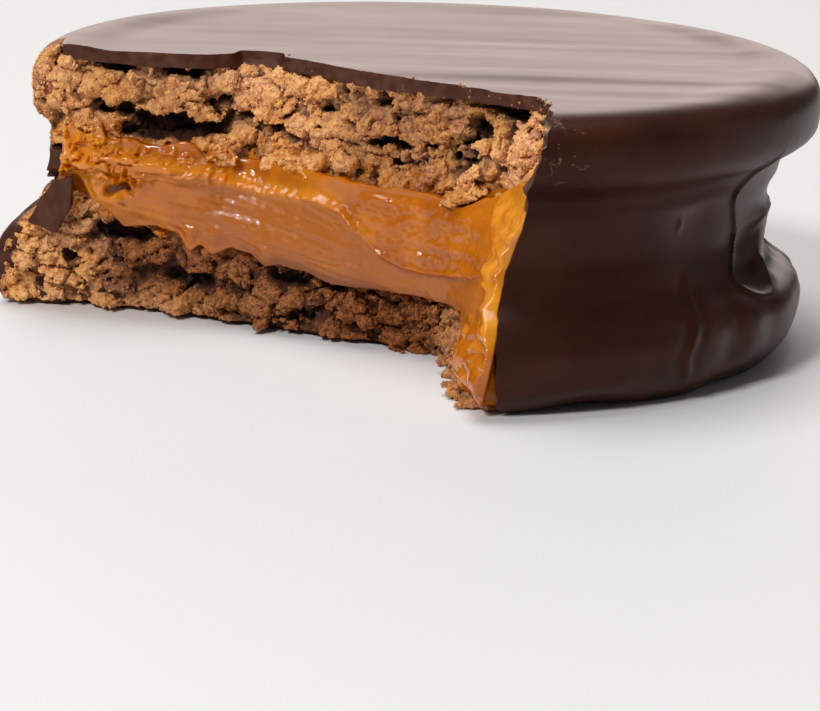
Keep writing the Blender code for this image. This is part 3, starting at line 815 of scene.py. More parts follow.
def smear_texture(place, height):
    """Long streaks, hatching on the shelf, and the small lumps of the wet and torn parts."""
    left, upper, before_run = smear_zones(place, height)
    smooth = 1 - 0.8 * ease(9.3, 9.9, place)
    streaks = np.stack((place * 0.55, (height + 0.95 * place) * 2.3, 0 * place + 3.5), axis=-1)
    relief = 0.085 * layered_noise(streaks, 131, 3) * (0.5 + 0.5 * left) * smooth
    hatch = np.stack((place * 9.0 + height * 1.2, height * 0.9, 0 * place + 5.5), axis=-1)
    relief = relief + 0.035 * soft_noise(hatch, 141) * (1 - left) * before_run * (1 - upper)
    lumpy = face_spots(place, height)
    wet = (1 - ease(4.0, 5.6, place)) * ease(10.4, 11.8, height) + 0.3 * ease(7.4, 8.2, place) * upper
    relief = relief + 0.34 * wet * lumpy_noise(lumpy * (0.6, 1.3, 1) / 1.3, 151, 3)
    relief = relief + 0.035 * layered_noise(lumpy / 0.45, 153, 3) * (1 + upper) * smooth
    near_crest = left * bell(height - lip_height(place), 0.5)
    relief = relief + 0.14 * near_crest * lumpy_noise(lumpy / 0.8, 155, 2)
    relief = relief + 0.1 * layered_noise(lumpy / 3.1, 155, 2)
    torn = (1 - ease(2.9, 3.7, place)) * ease(9.9, 11.0, height)
    return relief + 0.55 * torn * lumpy_noise(lumpy * (1, 1.2, 1) / 0.75, 171, 2)


def smear_folds(place, height):
    """Pulled wrinkles at the left, a groove in the middle, and the lumpy foot of the run."""
    wrinkles = np.stack((place * 1.1, (height + 0.5 * place) * 2.1, 0 * place + 1.5), axis=-1)
    pulled = bell(place - 3.5, 0.6) * bell(height - 12.2, 0.9)
    pulled = pulled + 0.8 * bell(place - 4.4, 0.7) * bell(height - 8.6, 0.8)
    groove = bell(height - (6.25 + 1.9 * (place - 6.5) ** 2), 0.11) * between(6.05, 6.95, 0.1, place)
    foot = 0.5 * bell(place - 11.6, 0.8) * bell(height - 2.3, 1.7)
    lumps = leg_share(place, height) * lumpy_noise(face_spots(place, height) * (0.5, 1, 1) / 1.1, 181, 2)
    return 0.24 * pulled * soft_noise(wrinkles, 173) - 0.13 * groove + foot + 0.2 * lumps


def wet_ridge(place, height):
    """The beaded ridge along the right edge, with a crease in front of it."""
    past, tall = past_ridge(place, height), between(*RIDGE_LEVELS, 0.8, height)
    lumpy = face_spots(place, height)
    blobs = soft_noise(lumpy * (0.22, 0.95, 1), 157) + 0.45 * soft_noise(lumpy * (0.4, 2.1, 1), 158)
    blobs = blobs + 0.5 * soft_noise(lumpy * (0.55, 1.0, 1), 177)
    ridge = ease(-0.12, 0.1, past) * (0.42 + 0.42 * blobs - 0.25 * np.clip(past - 0.3, 0, 2))
    return tall * (ridge - 0.14 * bell(past + 0.16, 0.1))


def smear_face(place, height):
    """How far the filling's face stands out from the bite."""
    drop = ((place - DROP_PLACE) / 0.07) ** 2 + ((height - DROP_HEIGHT) / 0.3) ** 2
    thin_low = 1 - ease(0, 1.8, height - smear_low(place))
    thin_high = 1 - ease(0, 1.2, smear_high(place) - height)
    proud = smear_levels(place, height) + smear_texture(place, height) + smear_folds(place, height)
    proud = proud + wet_ridge(place, height) - 1.5 * hole_share(place, height) + 1.1 * np.exp(-drop)
    proud = proud - 0.75 * thin_low - 0.6 * thin_high
    return np.maximum(proud, 0.35 - base_setback(place) * (1 - ease(9, 11, height)))


def smear_back(place, height):
    """Where the smear's back lies: on the biscuits' faces, and deep in the layer between them."""
    x = bite_line(place, height)[..., 0]
    into = between(filling_floor(x) + 0.6, filling_ceiling(x) - 0.6, 0.5, height)
    on_face = -0.45 - base_setback(place) * (1 - ease(8, 10, height))
    return mix(on_face, -2.6, into)


def smear_field(block, skin):
    place, height = block.place[:, :, 0], block.height[:, :, 0]
    front, back = smear_face(place, height)[..., None], smear_back(place, height)[..., None]
    ragged = 0.22 * layered_noise(np.stack((place * 3.1, height * 0.4, 0 * place), -1), 161, 2)
    low = (smear_low(place) + ragged)[..., None]
    high = (smear_high(place) + ragged * (1 + 1.2 * (1 - ease(3.0, 4.5, place))))[..., None]
    field = np.minimum(front - block.proud, block.proud - back)
    field = np.minimum(field, np.minimum(block.height - low, high - block.height))
    ends = np.minimum(block.place - 1.98, 12.75 - block.place) * PLACE_LENGTH
    start = np.interp(block.height, LEG_HEIGHTS, LEG_STARTS) - 0.2 * ragged[..., None]
    leg = np.where(block.height < 4.6, (block.place - start) * PLACE_LENGTH, 9.0)
    return np.minimum(np.minimum(field, ends), np.minimum(skin, leg))


# Meshes

def add_mesh(name, points, faces, materials=()):
    """A smooth mesh object from points in millimetres."""
    mesh = bpy.data.meshes.new(name)
    mesh.from_pydata((np.asarray(points) * MM).tolist(), [], [list(face) for face in faces])
    mesh.update()
    mesh.shade_smooth()
    for material in materials:
        mesh.materials.append(material)
    item = bpy.data.objects.new(name, mesh)
    bpy.context.scene.collection.objects.link(item)
    return item


def add_values(item, name, values):
    """Stores one number for each corner of the mesh, for its material or its crumbs to read."""
    layer = item.data.attributes.new(name, "FLOAT", "POINT")
    layer.data.foreach_set("value", np.asarray(values, dtype=np.float32))


def read_values(item, name):
    values = np.zeros(len(item.data.vertices), dtype=np.float32)
    item.data.attributes[name].data.foreach_get("value", values)
    return values


def mesh_points(item):
    points = np.empty(len(item.data.vertices) * 3, dtype=np.float32)
    item.data.vertices.foreach_get("co", points)
    return points.reshape(-1, 3).astype(float) / MM


def add_tints(item):
    # Stores the painted-shade share and the soaked share for the crumb material to read.
    for label, values in zip(("shade_and_brown", "soaked"), crumb_tints(mesh_points(item))):
        add_values(item, label, values)


def ring_faces(rows, count):
    """Four-sided faces between rings of corners, outward if the rows run from the top down."""
    first = np.arange(rows - 1)[:, None] * count + np.arange(count)
    after = np.arange(rows - 1)[:, None] * count + (np.arange(count) + 1) % count
    return np.stack((first, first + count, after + count, after), axis=-1).reshape(-1, 4)


def turned_body(name, skin, fine, top_rows, angles, draped, materials=()):
    """The closed form, skin below the cookie's surface."""
    profile = dipped_profile(skin, fine, top_rows)
    turn = np.radians(angles)
    radius, height = profile[:, :1], profile[:, 1:] + 0 * turn
    points = np.stack((radius * np.cos(turn), radius * np.sin(turn), height), axis=-1)
    poles = np.array([(0, 0, TOP_HEIGHT - skin), (0, 0, skin)])
    shape = (lambda spots: settle(drape(spots))) if draped else settle
    rows, count = height.shape
    corners = np.concatenate((shape(points).reshape(-1, 3), shape(poles)))
    faces = ring_faces(rows, count).tolist()
    last, top, base = rows * count - count, rows * count, rows * count + 1
    for index in range(count):
        after = (index + 1) % count
        faces.append((top, index, after))
        faces.append((base, last + after, last + index))
    return add_mesh(name, corners, faces, materials)


def bite_cutter(name, face, step, materials=()):
    """A closed block over the bitten part, whose wall follows the given face."""
    heights = np.arange(-3, TOP_HEIGHT + 4, step)
    places = np.linspace(0, BITE_SPAN, round(BITE_SPAN * PLACE_LENGTH / step))
    place, height = np.meshgrid(places, heights)
    wall = bite_point(place, height, face(place, height))
    reach = 46.0
    corners = []
    for x, y in ((wall[:, -1, 0], -reach), (-reach, -reach), (-reach, wall[:, 0, 1])):
        corners.append(np.stack(np.broadcast_arrays(x, y, heights), axis=-1)[:, None])
    loops = np.concatenate([wall] + corners, axis=1)
    rows, count = loops.shape[:2]
    faces = ring_faces(rows, count)[:, ::-1].tolist()
    faces.append(list(range(count))[::-1])
    faces.append([(rows - 1) * count + index for index in range(count)])
    item = add_mesh(name, loops.reshape(-1, 3), faces, materials)
    turn_outwards(item)
    return item


def turn_outwards(item):
    source = bmesh.new()
    source.from_mesh(item.data)
    bmesh.ops.recalc_face_normals(source, faces=source.faces)
    source.to_mesh(item.data)
    source.free()


def layer_block(name, floor, ceiling):
    """A block that spans the cookie between two uneven faces."""
    side = np.linspace(-36, 36, 48)
    x, y = np.meshgrid(side, side)
    lower = np.stack((x, y, floor(x)), axis=-1).reshape(-1, 3)
    upper = np.stack((x, y, ceiling(x)), axis=-1).reshape(-1, 3)
    count = len(side)
    first = (np.arange(count - 1)[:, None] * count + np.arange(count - 1)).reshape(-1)
    sheet = np.stack((first, first + 1, first + count + 1, first + count), axis=-1)
    rim = np.concatenate((np.arange(count), np.arange(2, count + 1) * count - 1,
                          np.arange(count * count - 2, count * count - count - 1, -1),
                          np.arange(count - 2, 0, -1) * count))
    after = np.roll(rim, -1)
    total = count * count
    wall = np.stack((rim, after, after + total, rim + total), axis=-1)
    faces = np.concatenate((sheet[:, ::-1], sheet + total, wall)).tolist()
    item = add_mesh(name, np.concatenate((lower, upper)), faces)
    turn_outwards(item)
    return item


def cut(item, other, operation):
    """Applies a Boolean to the item's mesh and removes the other object."""
    modifier = item.modifiers.new(other.name, "BOOLEAN")
    modifier.operation = operation
    modifier.solver = "MANIFOLD"
    modifier.material_mode = "TRANSFER"
    modifier.object = other
    bake_modifiers(item)
    remove(other)


def bake_modifiers(item):
    """Turns what the modifiers make into the item's own mesh."""
    bpy.context.view_layer.update()
    shaped = item.evaluated_get(bpy.context.evaluated_depsgraph_get())
    mesh = bpy.data.meshes.new_from_object(shaped)
    item.modifiers.clear()
    old = item.data
    item.data = mesh
    mesh.name = old.name
    bpy.data.meshes.remove(old)


def thin_out(item, most):
    """Leaves at most the given number of triangles, fewest where the surface is plain."""
    count = sum(len(face.vertices) - 2 for face in item.data.polygons)
    if count > most:
        modifier = item.modifiers.new("thin out", "DECIMATE")
        modifier.ratio = most / count
        bake_modifiers(item)


def remove(item):
    mesh = item.data
    bpy.data.objects.remove(item, do_unlink=True)
    bpy.data.meshes.remove(mesh)


def join(item, others):
    """Joins the other meshes into the item's."""
    whole = bmesh.new()
    for source in (item, *others):
        whole.from_mesh(source.data)
    whole.to_mesh(item.data)
    whole.free()
    for source in others:
        remove(source)


def finish_piece(item, replaced=None, sharp=None):
    """Puts a finished piece on the cookie's body."""
    item.data.shade_smooth()
    if sharp:
        item.data.set_sharp_from_angle(angle=math.radians(sharp))
    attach(item, BODY)
    if replaced:
        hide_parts(replaced)
    return item


# Materials

class Finish:
    """A Principled material under construction, with a few named ways to add to it."""

    def __init__(self, name, color, roughness):
        self.material = bpy.data.materials.new(name)
        self.material.use_nodes = True
        self.tree = self.material.node_tree
        self.shader = self.tree.nodes["Principled BSDF"]
        self.set("Base Color", (*color, 1))
        self.set("Roughness", roughness)
        self.spots = self.tree.nodes.new("ShaderNodeTexCoord").outputs["Object"]

    def set(self, socket, value):
        self.shader.inputs[socket].default_value = value

    def link(self, source, target):
        self.tree.links.new(source, target)

    def noise(self, size, detail=3.0, stretch=None, roughness=0.55):
        """Noise with features of about the given size in millimetres, from 0 to 1."""
        node = self.tree.nodes.new("ShaderNodeTexNoise")
        node.inputs["Scale"].default_value = 1 / (size * MM)
        node.inputs["Detail"].default_value = detail
        node.inputs["Roughness"].default_value = roughness
        source = self.spots
        if stretch:
            mapping = self.tree.nodes.new("ShaderNodeMapping")
            mapping.inputs["Scale"].default_value = stretch
            self.link(source, mapping.inputs["Vector"])
            source = mapping.outputs["Vector"]
        self.link(source, node.inputs["Vector"])
        return node.outputs["Fac"]

    def cells(self, size):
        """Distance from the nearest of scattered seeds, one to each size in millimetres."""
        node = self.tree.nodes.new("ShaderNodeTexVoronoi")
        node.inputs["Scale"].default_value = 1 / (size * MM)
        self.link(self.spots, node.inputs["Vector"])
        return node.outputs["Distance"]

    def stored(self, name):
        """A number stored on the mesh's corners."""
        node = self.tree.nodes.new("ShaderNodeAttribute")
        node.attribute_name = name
        return node.outputs["Fac"]

    def ramp(self, source, low, high, out_low=0.0, out_high=1.0):
        """Maps low..high of a number to out_low..out_high, held at both ends."""
        node = self.tree.nodes.new("ShaderNodeMapRange")
        limits = {"From Min": low, "From Max": high, "To Min": out_low, "To Max": out_high}
        for name, value in limits.items():
            node.inputs[name].default_value = value
        self.link(source, node.inputs["Value"])
        return node.outputs["Result"]

    def math(self, operation, first, second):
        node = self.tree.nodes.new("ShaderNodeMath")
        node.operation = operation
        for socket, value in zip(node.inputs, (first, second)):
            if isinstance(value, (int, float)):
                socket.default_value = value
            else:
                self.link(value, socket)
        return node.outputs["Value"]

    def blend(self, share, first, second):
        """Mixes two colours, each a tuple or a node's output."""
        node = self.tree.nodes.new("ShaderNodeMix")
        node.data_type = "RGBA"
        self.link(share, node.inputs["Factor"])
        for socket, value in ((node.inputs[6], first), (node.inputs[7], second)):
            if isinstance(value, tuple):
                socket.default_value = (*value, 1)
            else:
                self.link(value, socket)
        return node.outputs[2]

    def color(self, source):
        self.link(source, self.shader.inputs["Base Color"])

    def rough(self, source):
        self.link(source, self.shader.inputs["Roughness"])

    def bump(self, source, height, strength=1.0, under=None):
        """Adds relief of the given height in millimetres, over the relief under it."""
        node = self.tree.nodes.new("ShaderNodeBump")
        node.inputs["Strength"].default_value = strength
        node.inputs["Distance"].default_value = height * MM
        self.link(source, node.inputs["Height"])
        if under:
            self.link(under, node.inputs["Normal"])
        self.link(node.outputs["Normal"], self.shader.inputs["Normal"])
        return node.outputs["Normal"]


def tinted(color, factors):
    """The colour with each of its parts made weaker or stronger."""
    return tuple(part * factor for part, factor in zip(color, factors))


def shaded(color, factor):
    """The colour, darker or lighter."""
    return tinted(color, (factor,) * 3)


def set_shine(finish, level, tint):
    """How strongly the surface mirrors its surroundings, and in which colour."""
    finish.set("Specular IOR Level", level)
    finish.set("Specular Tint", (*tint, 1))


def soften(finish, weight, radius, scale):
    """Lets light into the surface, as far as the given reach in millimetres."""
    finish.set("Subsurface Weight", weight)
    finish.set("Subsurface Radius", radius)
    finish.set("Subsurface Scale", scale * MM)


def dark_chocolate(look):
    finish = Finish("dark chocolate", look.chocolate, 0.3)
    clouds = finish.ramp(finish.noise(6.0, 3), 0.35, 0.65)
    shade = finish.blend(clouds, shaded(look.chocolate, 0.78), shaded(look.chocolate, 1.25))
    finish.rough(finish.ramp(finish.noise(3.0, 3, stretch=(0.2, 1, 1)), 0.3, 0.7,
                             look.chocolate_roughness - 0.01, look.chocolate_roughness + 0.03))
    low = finish.bump(finish.noise(2.0, 2, stretch=(0.12, 1, 1)), 0.008, 0.4)
    finish.bump(finish.noise(0.16, 2), 0.004, 0.5, low)
    curls = finish.math("ABSOLUTE", finish.math("SUBTRACT", finish.noise(2.4, 3), 0.5), 0.0)
    curls = finish.math("MULTIPLY", finish.ramp(curls, 0.003, 0.02, 1.0, 0.0), finish.stored("scuffed"))
    curls = finish.math("MULTIPLY", curls, finish.ramp(finish.noise(0.9, 2), 0.46, 0.56))
    dust = finish.ramp(finish.cells(0.6), 0.08, 0.14, 1.0, 0.0)
    dust = finish.math("MULTIPLY", dust, finish.stored("scuffed"))
    shade = finish.blend(finish.math("MAXIMUM", curls, dust), shade, (0.16, 0.085, 0.055))
    patches = finish.ramp(finish.noise(0.8, 4), 0.35, 0.6, 0.3, 1.2)
    worn = finish.math("MULTIPLY", finish.stored("worn"), patches)
    finish.color(finish.blend(finish.ramp(worn, 0.2, 0.6), shade, (0.24, 0.085, 0.04)))
    set_shine(finish, 0.22, (1.0, 0.5, 0.38))
    return finish.material


def broken_chocolate(look):
    finish = Finish("broken chocolate", look.broken_chocolate, 0.42)
    grain = finish.noise(0.9, 5)
    dark, pale = shaded(look.broken_chocolate, 0.7), shaded(look.broken_chocolate, 1.35)
    finish.color(finish.blend(finish.ramp(grain, 0.38, 0.66), dark, pale))
    under = finish.bump(finish.noise(1.2, 3), 0.1, 0.7)
    finish.bump(finish.noise(0.25, 3), 0.02, 0.6, under)
    set_shine(finish, 0.25, (1.0, 0.6, 0.5))
    return finish.material


def crumb_finish(name, look):
    """Open biscuit crumb, golden and pink in patches, painted light on tips, painted shade in pits."""
    bright, mid = tuple(look.crumb_bright), tuple(look.crumb_mid)
    finish = Finish(name, mid, 0.85)
    deep = finish.stored("pit")
    tip = finish.stored("tip")
    patches = finish.ramp(finish.noise(3.4, 3), 0.36, 0.64)
    grain = finish.ramp(finish.noise(0.34, 5, roughness=0.7), 0.36, 0.64)
    shade_and_browner = finish.stored("shade_and_brown")
    # Painted shade: where the crumb is marked as shaded, both the ground and the tops turn a darker,
    # browner tint.
    ground = finish.blend(patches, tinted(mid, (1, 0.95, 1.4)), mid)
    ground = finish.blend(shade_and_browner, ground, tinted(mid, (0.13, 0.055, 0.018)))
    tops = finish.blend(patches, bright, tinted(bright, (1, 0.9, 0.6)))
    tops = finish.blend(shade_and_browner, tops, tinted(bright, (0.5, 0.27, 0.125)))
    # Painted light and shade: corners that stand out are painted paler, pits and shaded parts darker; the
    # grain adds random speckle.
    lit = finish.math("ADD", finish.math("MULTIPLY", tip, 0.7), finish.math("MULTIPLY", grain, 0.65))
    lit = finish.math("SUBTRACT", lit, finish.math("MULTIPLY", deep, 0.6))
    lit = finish.math("SUBTRACT", lit, finish.math("MULTIPLY", shade_and_browner, 0.27))
    body = finish.blend(finish.ramp(lit, 0.05, 1.0), ground, tops)
    wet = finish.math("MULTIPLY", finish.stored("soaked"), finish.ramp(finish.noise(1.1, 3), 0.48, 0.58))
    body = finish.blend(wet, body, shaded(look.amber, 0.9))
    # Painted shade: the deepest pits fade to a near-black colour.
    body = finish.blend(finish.ramp(deep, 0.22, 0.8), body, tuple(look.crumb_pit_shade))
    crust = finish.math("ADD", finish.stored("crust"), finish.ramp(grain, 0.0, 1.0, -0.3, 0.3))
    skin = tinted(mid, (0.8, 0.66, 0.7))
    finish.color(finish.blend(finish.ramp(crust, 0.4, 1.0, 0.0, 0.9), body, skin))
    finish.rough(finish.ramp(finish.noise(0.3, 2), 0.3, 0.7, 0.62, 0.95))
    under = finish.bump(finish.noise(0.35, 4), 0.12, 0.9)
    finish.bump(finish.cells(0.17), 0.05, 0.6, under)
    finish.set("Specular IOR Level", 0.3)
    return finish.material


def filling_finish(look):
    """Dulce de leche: translucent amber where it is thick and wet, milky tan where it was dragged,
    with painted light on the right ridge and painted shade in the hole and under the lower lip.
    """
    finish = Finish("dulce de leche", look.amber, 0.25)
    milky = finish.stored("milky")
    streaks = finish.noise(1.6, 4, stretch=(0.35, 0.35, 1.6))
    share = finish.math("ADD", milky, finish.ramp(streaks, 0.3, 0.7, -0.28, 0.28))
    share = finish.ramp(share, 0.15, 0.85)
    depth = finish.ramp(finish.noise(2.6, 3), 0.35, 0.65)
    amber = finish.blend(depth, tinted(look.amber, (0.72, 0.6, 0.5)), tuple(look.amber))
    body = finish.blend(share, amber, tuple(look.tan))
    light_shade_and_tone = finish.stored("light_shade_and_tone")
    # Painted light on the right ridge, with the brighter gel elsewhere, towards yellow-orange.
    body = finish.blend(finish.ramp(light_shade_and_tone, 0.1, 1.0, 0.0, 0.8), body, (0.9, 0.36, 0.025))
    # Painted shade in the hole and under the lower lip, towards dark brown.
    finish.color(finish.blend(finish.ramp(light_shade_and_tone, -1.0, 0.0, 0.85, 0.0), body, (0.11, 0.022, 0.002)))
    shine = finish.ramp(finish.noise(0.8, 3), 0.3, 0.7, 0.08, 0.26)
    finish.rough(finish.math("ADD", finish.math("MULTIPLY", share, 0.2), shine))
    finish.set("Coat Weight", 0.24)
    finish.set("Coat Roughness", 0.08)
    under = finish.bump(finish.noise(0.6, 4, stretch=(0.6, 0.6, 1.5)), 0.045, 0.7)
    finish.bump(finish.noise(0.2, 2), 0.012, 0.6, under)
    soften(finish, 0.45, (1.0, 0.38, 0.08), 1.1)
    return finish.material


def fragment_finish(look):
    finish = Finish("scraped chocolate", look.broken_chocolate, 0.42)
    stripes = finish.noise(0.9, 4, stretch=(1.0, 1.0, 0.35))
    dark, pale = shaded(look.broken_chocolate, 0.8), shaded(look.broken_chocolate, 1.4)
    finish.color(finish.blend(finish.ramp(stripes, 0.4, 0.68), dark, pale))
    under = finish.bump(stripes, 0.1, 0.7)
    finish.bump(finish.noise(0.15, 3), 0.03, 0.7, under)
    set_shine(finish, 0.25, (1.0, 0.6, 0.5))
    return finish.material


# Loose crumbs, by Geometry Nodes

def scatter_tree(name, material):
    """A node group that strews small broken lumps over a mesh, more where "loose" is high."""
    tree = bpy.data.node_groups.new(name, "GeometryNodeTree")
    sockets = tree.interface
    sockets.new_socket("Geometry", in_out="INPUT", socket_type="NodeSocketGeometry")
    for label in ("Density", "Smallest", "Largest"):
        sockets.new_socket(label, in_out="INPUT", socket_type="NodeSocketFloat")
    sockets.new_socket("Seed", in_out="INPUT", socket_type="NodeSocketInt")
    sockets.new_socket("Geometry", in_out="OUTPUT", socket_type="NodeSocketGeometry")
    nodes, links = tree.nodes, tree.links
    given, result = nodes.new("NodeGroupInput"), nodes.new("NodeGroupOutput")

    def add(kind, **values):
        node = nodes.new(kind)
        for key, value in values.items():
            setattr(node, key, value)
        return node

    loose = add("GeometryNodeInputNamedAttribute", data_type="FLOAT")
    loose.inputs["Name"].default_value = "loose"
    share = add("ShaderNodeMath", operation="MULTIPLY")
    spread = add("GeometryNodeDistributePointsOnFaces", distribute_method="RANDOM")
    links.new(given.outputs["Geometry"], spread.inputs["Mesh"])
    links.new(given.outputs["Density"], share.inputs[0])
    links.new(loose.outputs["Attribute"], share.inputs[1])
    links.new(share.outputs[0], spread.inputs["Density"])
    links.new(given.outputs["Seed"], spread.inputs["Seed"])
    lump = add("GeometryNodeMeshIcoSphere")
    lump.inputs["Radius"].default_value = 1.0
    lump.inputs["Subdivisions"].default_value = 1
    size = add("FunctionNodeRandomValue", data_type="FLOAT")
    links.new(given.outputs["Smallest"], size.inputs[2])
    links.new(given.outputs["Largest"], size.inputs[3])
    links.new(given.outputs["Seed"], size.inputs["Seed"])
    turn = add("FunctionNodeRandomValue", data_type="FLOAT_VECTOR")
    turn.inputs[1].default_value = (math.tau,) * 3
    squash = add("FunctionNodeRandomValue", data_type="FLOAT_VECTOR")
    squash.inputs[0].default_value = (0.55, 0.6, 0.5)
    squash.inputs[1].default_value = (1.3, 1.1, 1.0)
    scale = add("ShaderNodeVectorMath", operation="SCALE")
    links.new(squash.outputs[0], scale.inputs[0])
    links.new(size.outputs[1], scale.inputs["Scale"])
    place = add("GeometryNodeInstanceOnPoints")
    links.new(spread.outputs["Points"], place.inputs["Points"])
    links.new(lump.outputs["Mesh"], place.inputs["Instance"])
    links.new(turn.outputs[0], place.inputs["Rotation"])
    links.new(scale.outputs[0], place.inputs["Scale"])
    whole = add("GeometryNodeRealizeInstances")
    links.new(place.outputs["Instances"], whole.inputs["Geometry"])
    rough = add("ShaderNodeTexNoise")
    rough.inputs["Scale"].default_value = 5200.0
    rough.inputs["Detail"].default_value = 2.0
    centre = add("ShaderNodeVectorMath", operation="SUBTRACT")
    centre.inputs[1].default_value = (0.5, 0.5, 0.5)
    shift = add("ShaderNodeVectorMath", operation="SCALE")
    links.new(rough.outputs["Color"], centre.inputs[0])
    links.new(centre.outputs[0], shift.inputs[0])
    links.new(given.outputs["Largest"], shift.inputs["Scale"])
    knock = add("GeometryNodeSetPosition")
    links.new(whole.outputs["Geometry"], knock.inputs["Geometry"])
    links.new(shift.outputs[0], knock.inputs["Offset"])
    smooth = add("GeometryNodeSetShadeSmooth")
    links.new(knock.outputs["Geometry"], smooth.inputs[0])
    paint = add("GeometryNodeSetMaterial")
    paint.inputs["Material"].default_value = material
    links.new(smooth.outputs[0], paint.inputs["Geometry"])
    links.new(paint.outputs["Geometry"], result.inputs["Geometry"])
    return tree


def strew(name, ground, loose, material, count, smallest, largest, seed):
    """About count loose bits over a piece, most where loose is 1 and none where it is 0."""
    base = ground.copy()
    base.data = ground.data.copy()
    bpy.context.scene.collection.objects.link(base)
    add_values(base, "loose", loose)
    base.data.calc_loop_triangles()
    corners = np.array([tile.vertices for tile in base.data.loop_triangles])
    areas = np.array([tile.area for tile in base.data.loop_triangles])
    density = count / (areas * loose[corners].mean(axis=1)).sum()
    tree = scatter_tree(name, material)
    modifier = base.modifiers.new(name, "NODES")
    modifier.node_group = tree
    wanted = {"Density": density, "Smallest": smallest * MM, "Largest": largest * MM, "Seed": seed}
    for socket in tree.interface.items_tree:
        if socket.in_out == "INPUT" and socket.name in wanted:
            modifier[socket.identifier] = wanted[socket.name]
    bake_modifiers(base)
    base.name = base.data.name = name
    for key in ("pit", "tip", "crust", "shade_and_brown", "soaked", "loose"):
        if key in base.data.attributes:
            base.data.attributes.remove(base.data.attributes[key])
    # Loose grains get no painted pit shade and a middling share of painted tip light.
    for label, value in (("pit", 0.0), ("tip", 0.55), ("crust", 0.0)):
        add_values(base, label, np.full(len(base.data.vertices), value))
    add_tints(base)
    return base


# The pieces

def make_coating(look):
    """The chocolate shell, broken open along the bite."""
    fine = 1
    skin_finish, edge_finish = dark_chocolate(look), broken_chocolate(look)
    outer = turned_body("coating_shell", 0, round(2 * fine), round(44 * fine), turn_angles(fine), True,
                        [skin_finish])
    inner = turned_body("coating_inside", SKIN, 1, 6, even_angles(120), False, [edge_finish])

    def edge(place, height):
        spots = face_spots(place, height)
        rough = 0.13 * layered_noise(spots / 1.6, 23, 2) + 0.08 * layered_noise(spots / 0.45, 27, 2)
        torn = ease(6.8, 8.4, place) * ease(18.2, 18.9, height)
        rough = rough * (1 + 1.2 * torn) - 0.3 * torn * ease(0.0, 0.5, layered_noise(spots / 1.1, 31, 2))
        chip = between(4.72, 5.55, 0.14, place) * ease(18.9, 20.2, height)
        gap = between(7.6, 10.6, 0.4, height) * (1 - ease(2.4, 3.2, place))
        left = 1 - ease(2.05, 2.4, place)
        corner = 1 - ease(1.76, 1.86, place + 0.3 * rough)
        bare = left * between(12.9, 19.4, 0.3, height) + corner * ease(19.0, 19.5, height)
        bare = np.maximum(bare, left * between(6.7, 9.5, 0.3, height))
        base = ease(2.1, 2.5, place) * (1 - ease(11.7, 12.1, place)) * (1 - ease(1.2, 2.0, height))
        toe = left * (1 - ease(4.2, 4.9, height))
        front = ease(9.9, 10.6, place)
        lip = np.interp(height, LIP_HEIGHTS, LIP_REACH) - 0.45 * (1 - ease(3.6, 6.0, height))
        lip -= 0.65 * (1 - ease(1.0, 4.0, height))
        broken = 1.1 * chip + 3.2 * gap + 3.4 * np.clip(bare, 0, 1) + 2.4 * base + 0.7 * toe
        return rough - broken + front * lip

    cut(outer, inner, "DIFFERENCE")
    cut(outer, bite_cutter("coating_bite", edge, 0.3, [edge_finish]), "DIFFERENCE")
    x, y, z = mesh_points(outer).T
    angle = np.degrees(np.arctan2(y - OUTLINE_SHIFT[1], x - OUTLINE_SHIFT[0] - TOP_SHIFT))
    patch = bell(angle + 70.5, 2.6) * between(16.5, 21.0, 1.0, z) * ease(20, 22, np.hypot(x, y))
    add_values(outer, "scuffed", np.clip(1.4 * patch, 0, 1))
    end = (1 - ease(-27.5, -25.5, x)) * ease(15.5, 17.5, z) * (1 - ease(1.5, 4.0, y))
    add_values(outer, "worn", end)
    return finish_piece(outer, "chocolate_coating", sharp=38)


def hidden_layer(name, floor, ceiling, setback):
    """The part of a layer that lies in the shell, behind its torn face."""
    layer = turned_body(name, SKIN + 0.05, 1, 6, even_angles(90), False)
    cut(layer, layer_block(name + "_block", floor, ceiling), "INTERSECT")
    cut(layer, bite_cutter(name + "_bite", lambda place, height: 0 * place - setback, 1.0), "DIFFERENCE")
    return layer


def make_biscuit(name, replaced, spans, face, hollows, floor, ceiling, bare, seed, material):
    """A biscuit: its torn face in full detail, and the plain rest of it inside the shell."""
    step = sample_step(CRUMB_STEP)
    block = BittenBlock(*spans, step)
    side, top = depths_inside(block.points, outer_side())
    open_end = 1 - ease(2.0, 2.5, block.place)
    corner = 1 - ease(1.74, 1.86, block.place)
    inner = SKIN - CRUMB_OVERLAP
    skin = np.minimum(side - mix(inner, bare, open_end), top - mix(inner, bare, corner))
    x = block.points[..., 0]
    torn = face(block.place[:, :, :1], block.height[:, :, :1])
    field = crumb_field(block, torn + 0 * block.proud, floor(x), ceiling(x), skin, seed)
    points, faces, spots = block.net(field)
    biscuit = add_mesh(name, points, faces)
    side, top = depths_inside(points, outer_side())
    # The pit and tip values steer the painted shade in the crumb's pits and the painted light on its tips.
    add_values(biscuit, "pit", crumb_shade(spots, face, hollows))
    add_values(biscuit, "tip", np.clip(0.4 + 6.5 * net_curve(points, faces) * 0.14 / step, 0, 1))
    add_values(biscuit, "crust", 1 - ease(bare + 0.1, bare + 0.35, np.minimum(side, top)))
    thin_out(biscuit, MOST_TRIANGLES)
    rest = hidden_layer(name + "_rest", floor, ceiling, -spans[2][0] - 0.2)
    # The hidden rest counts as deep pit, so it is painted wholly in pit shade.
    add_values(rest, "pit", np.ones(len(rest.data.vertices)))
    join(biscuit, [rest])
    add_tints(biscuit)
    biscuit.data.materials.clear()
    biscuit.data.materials.append(material)
    return finish_piece(biscuit, replaced)


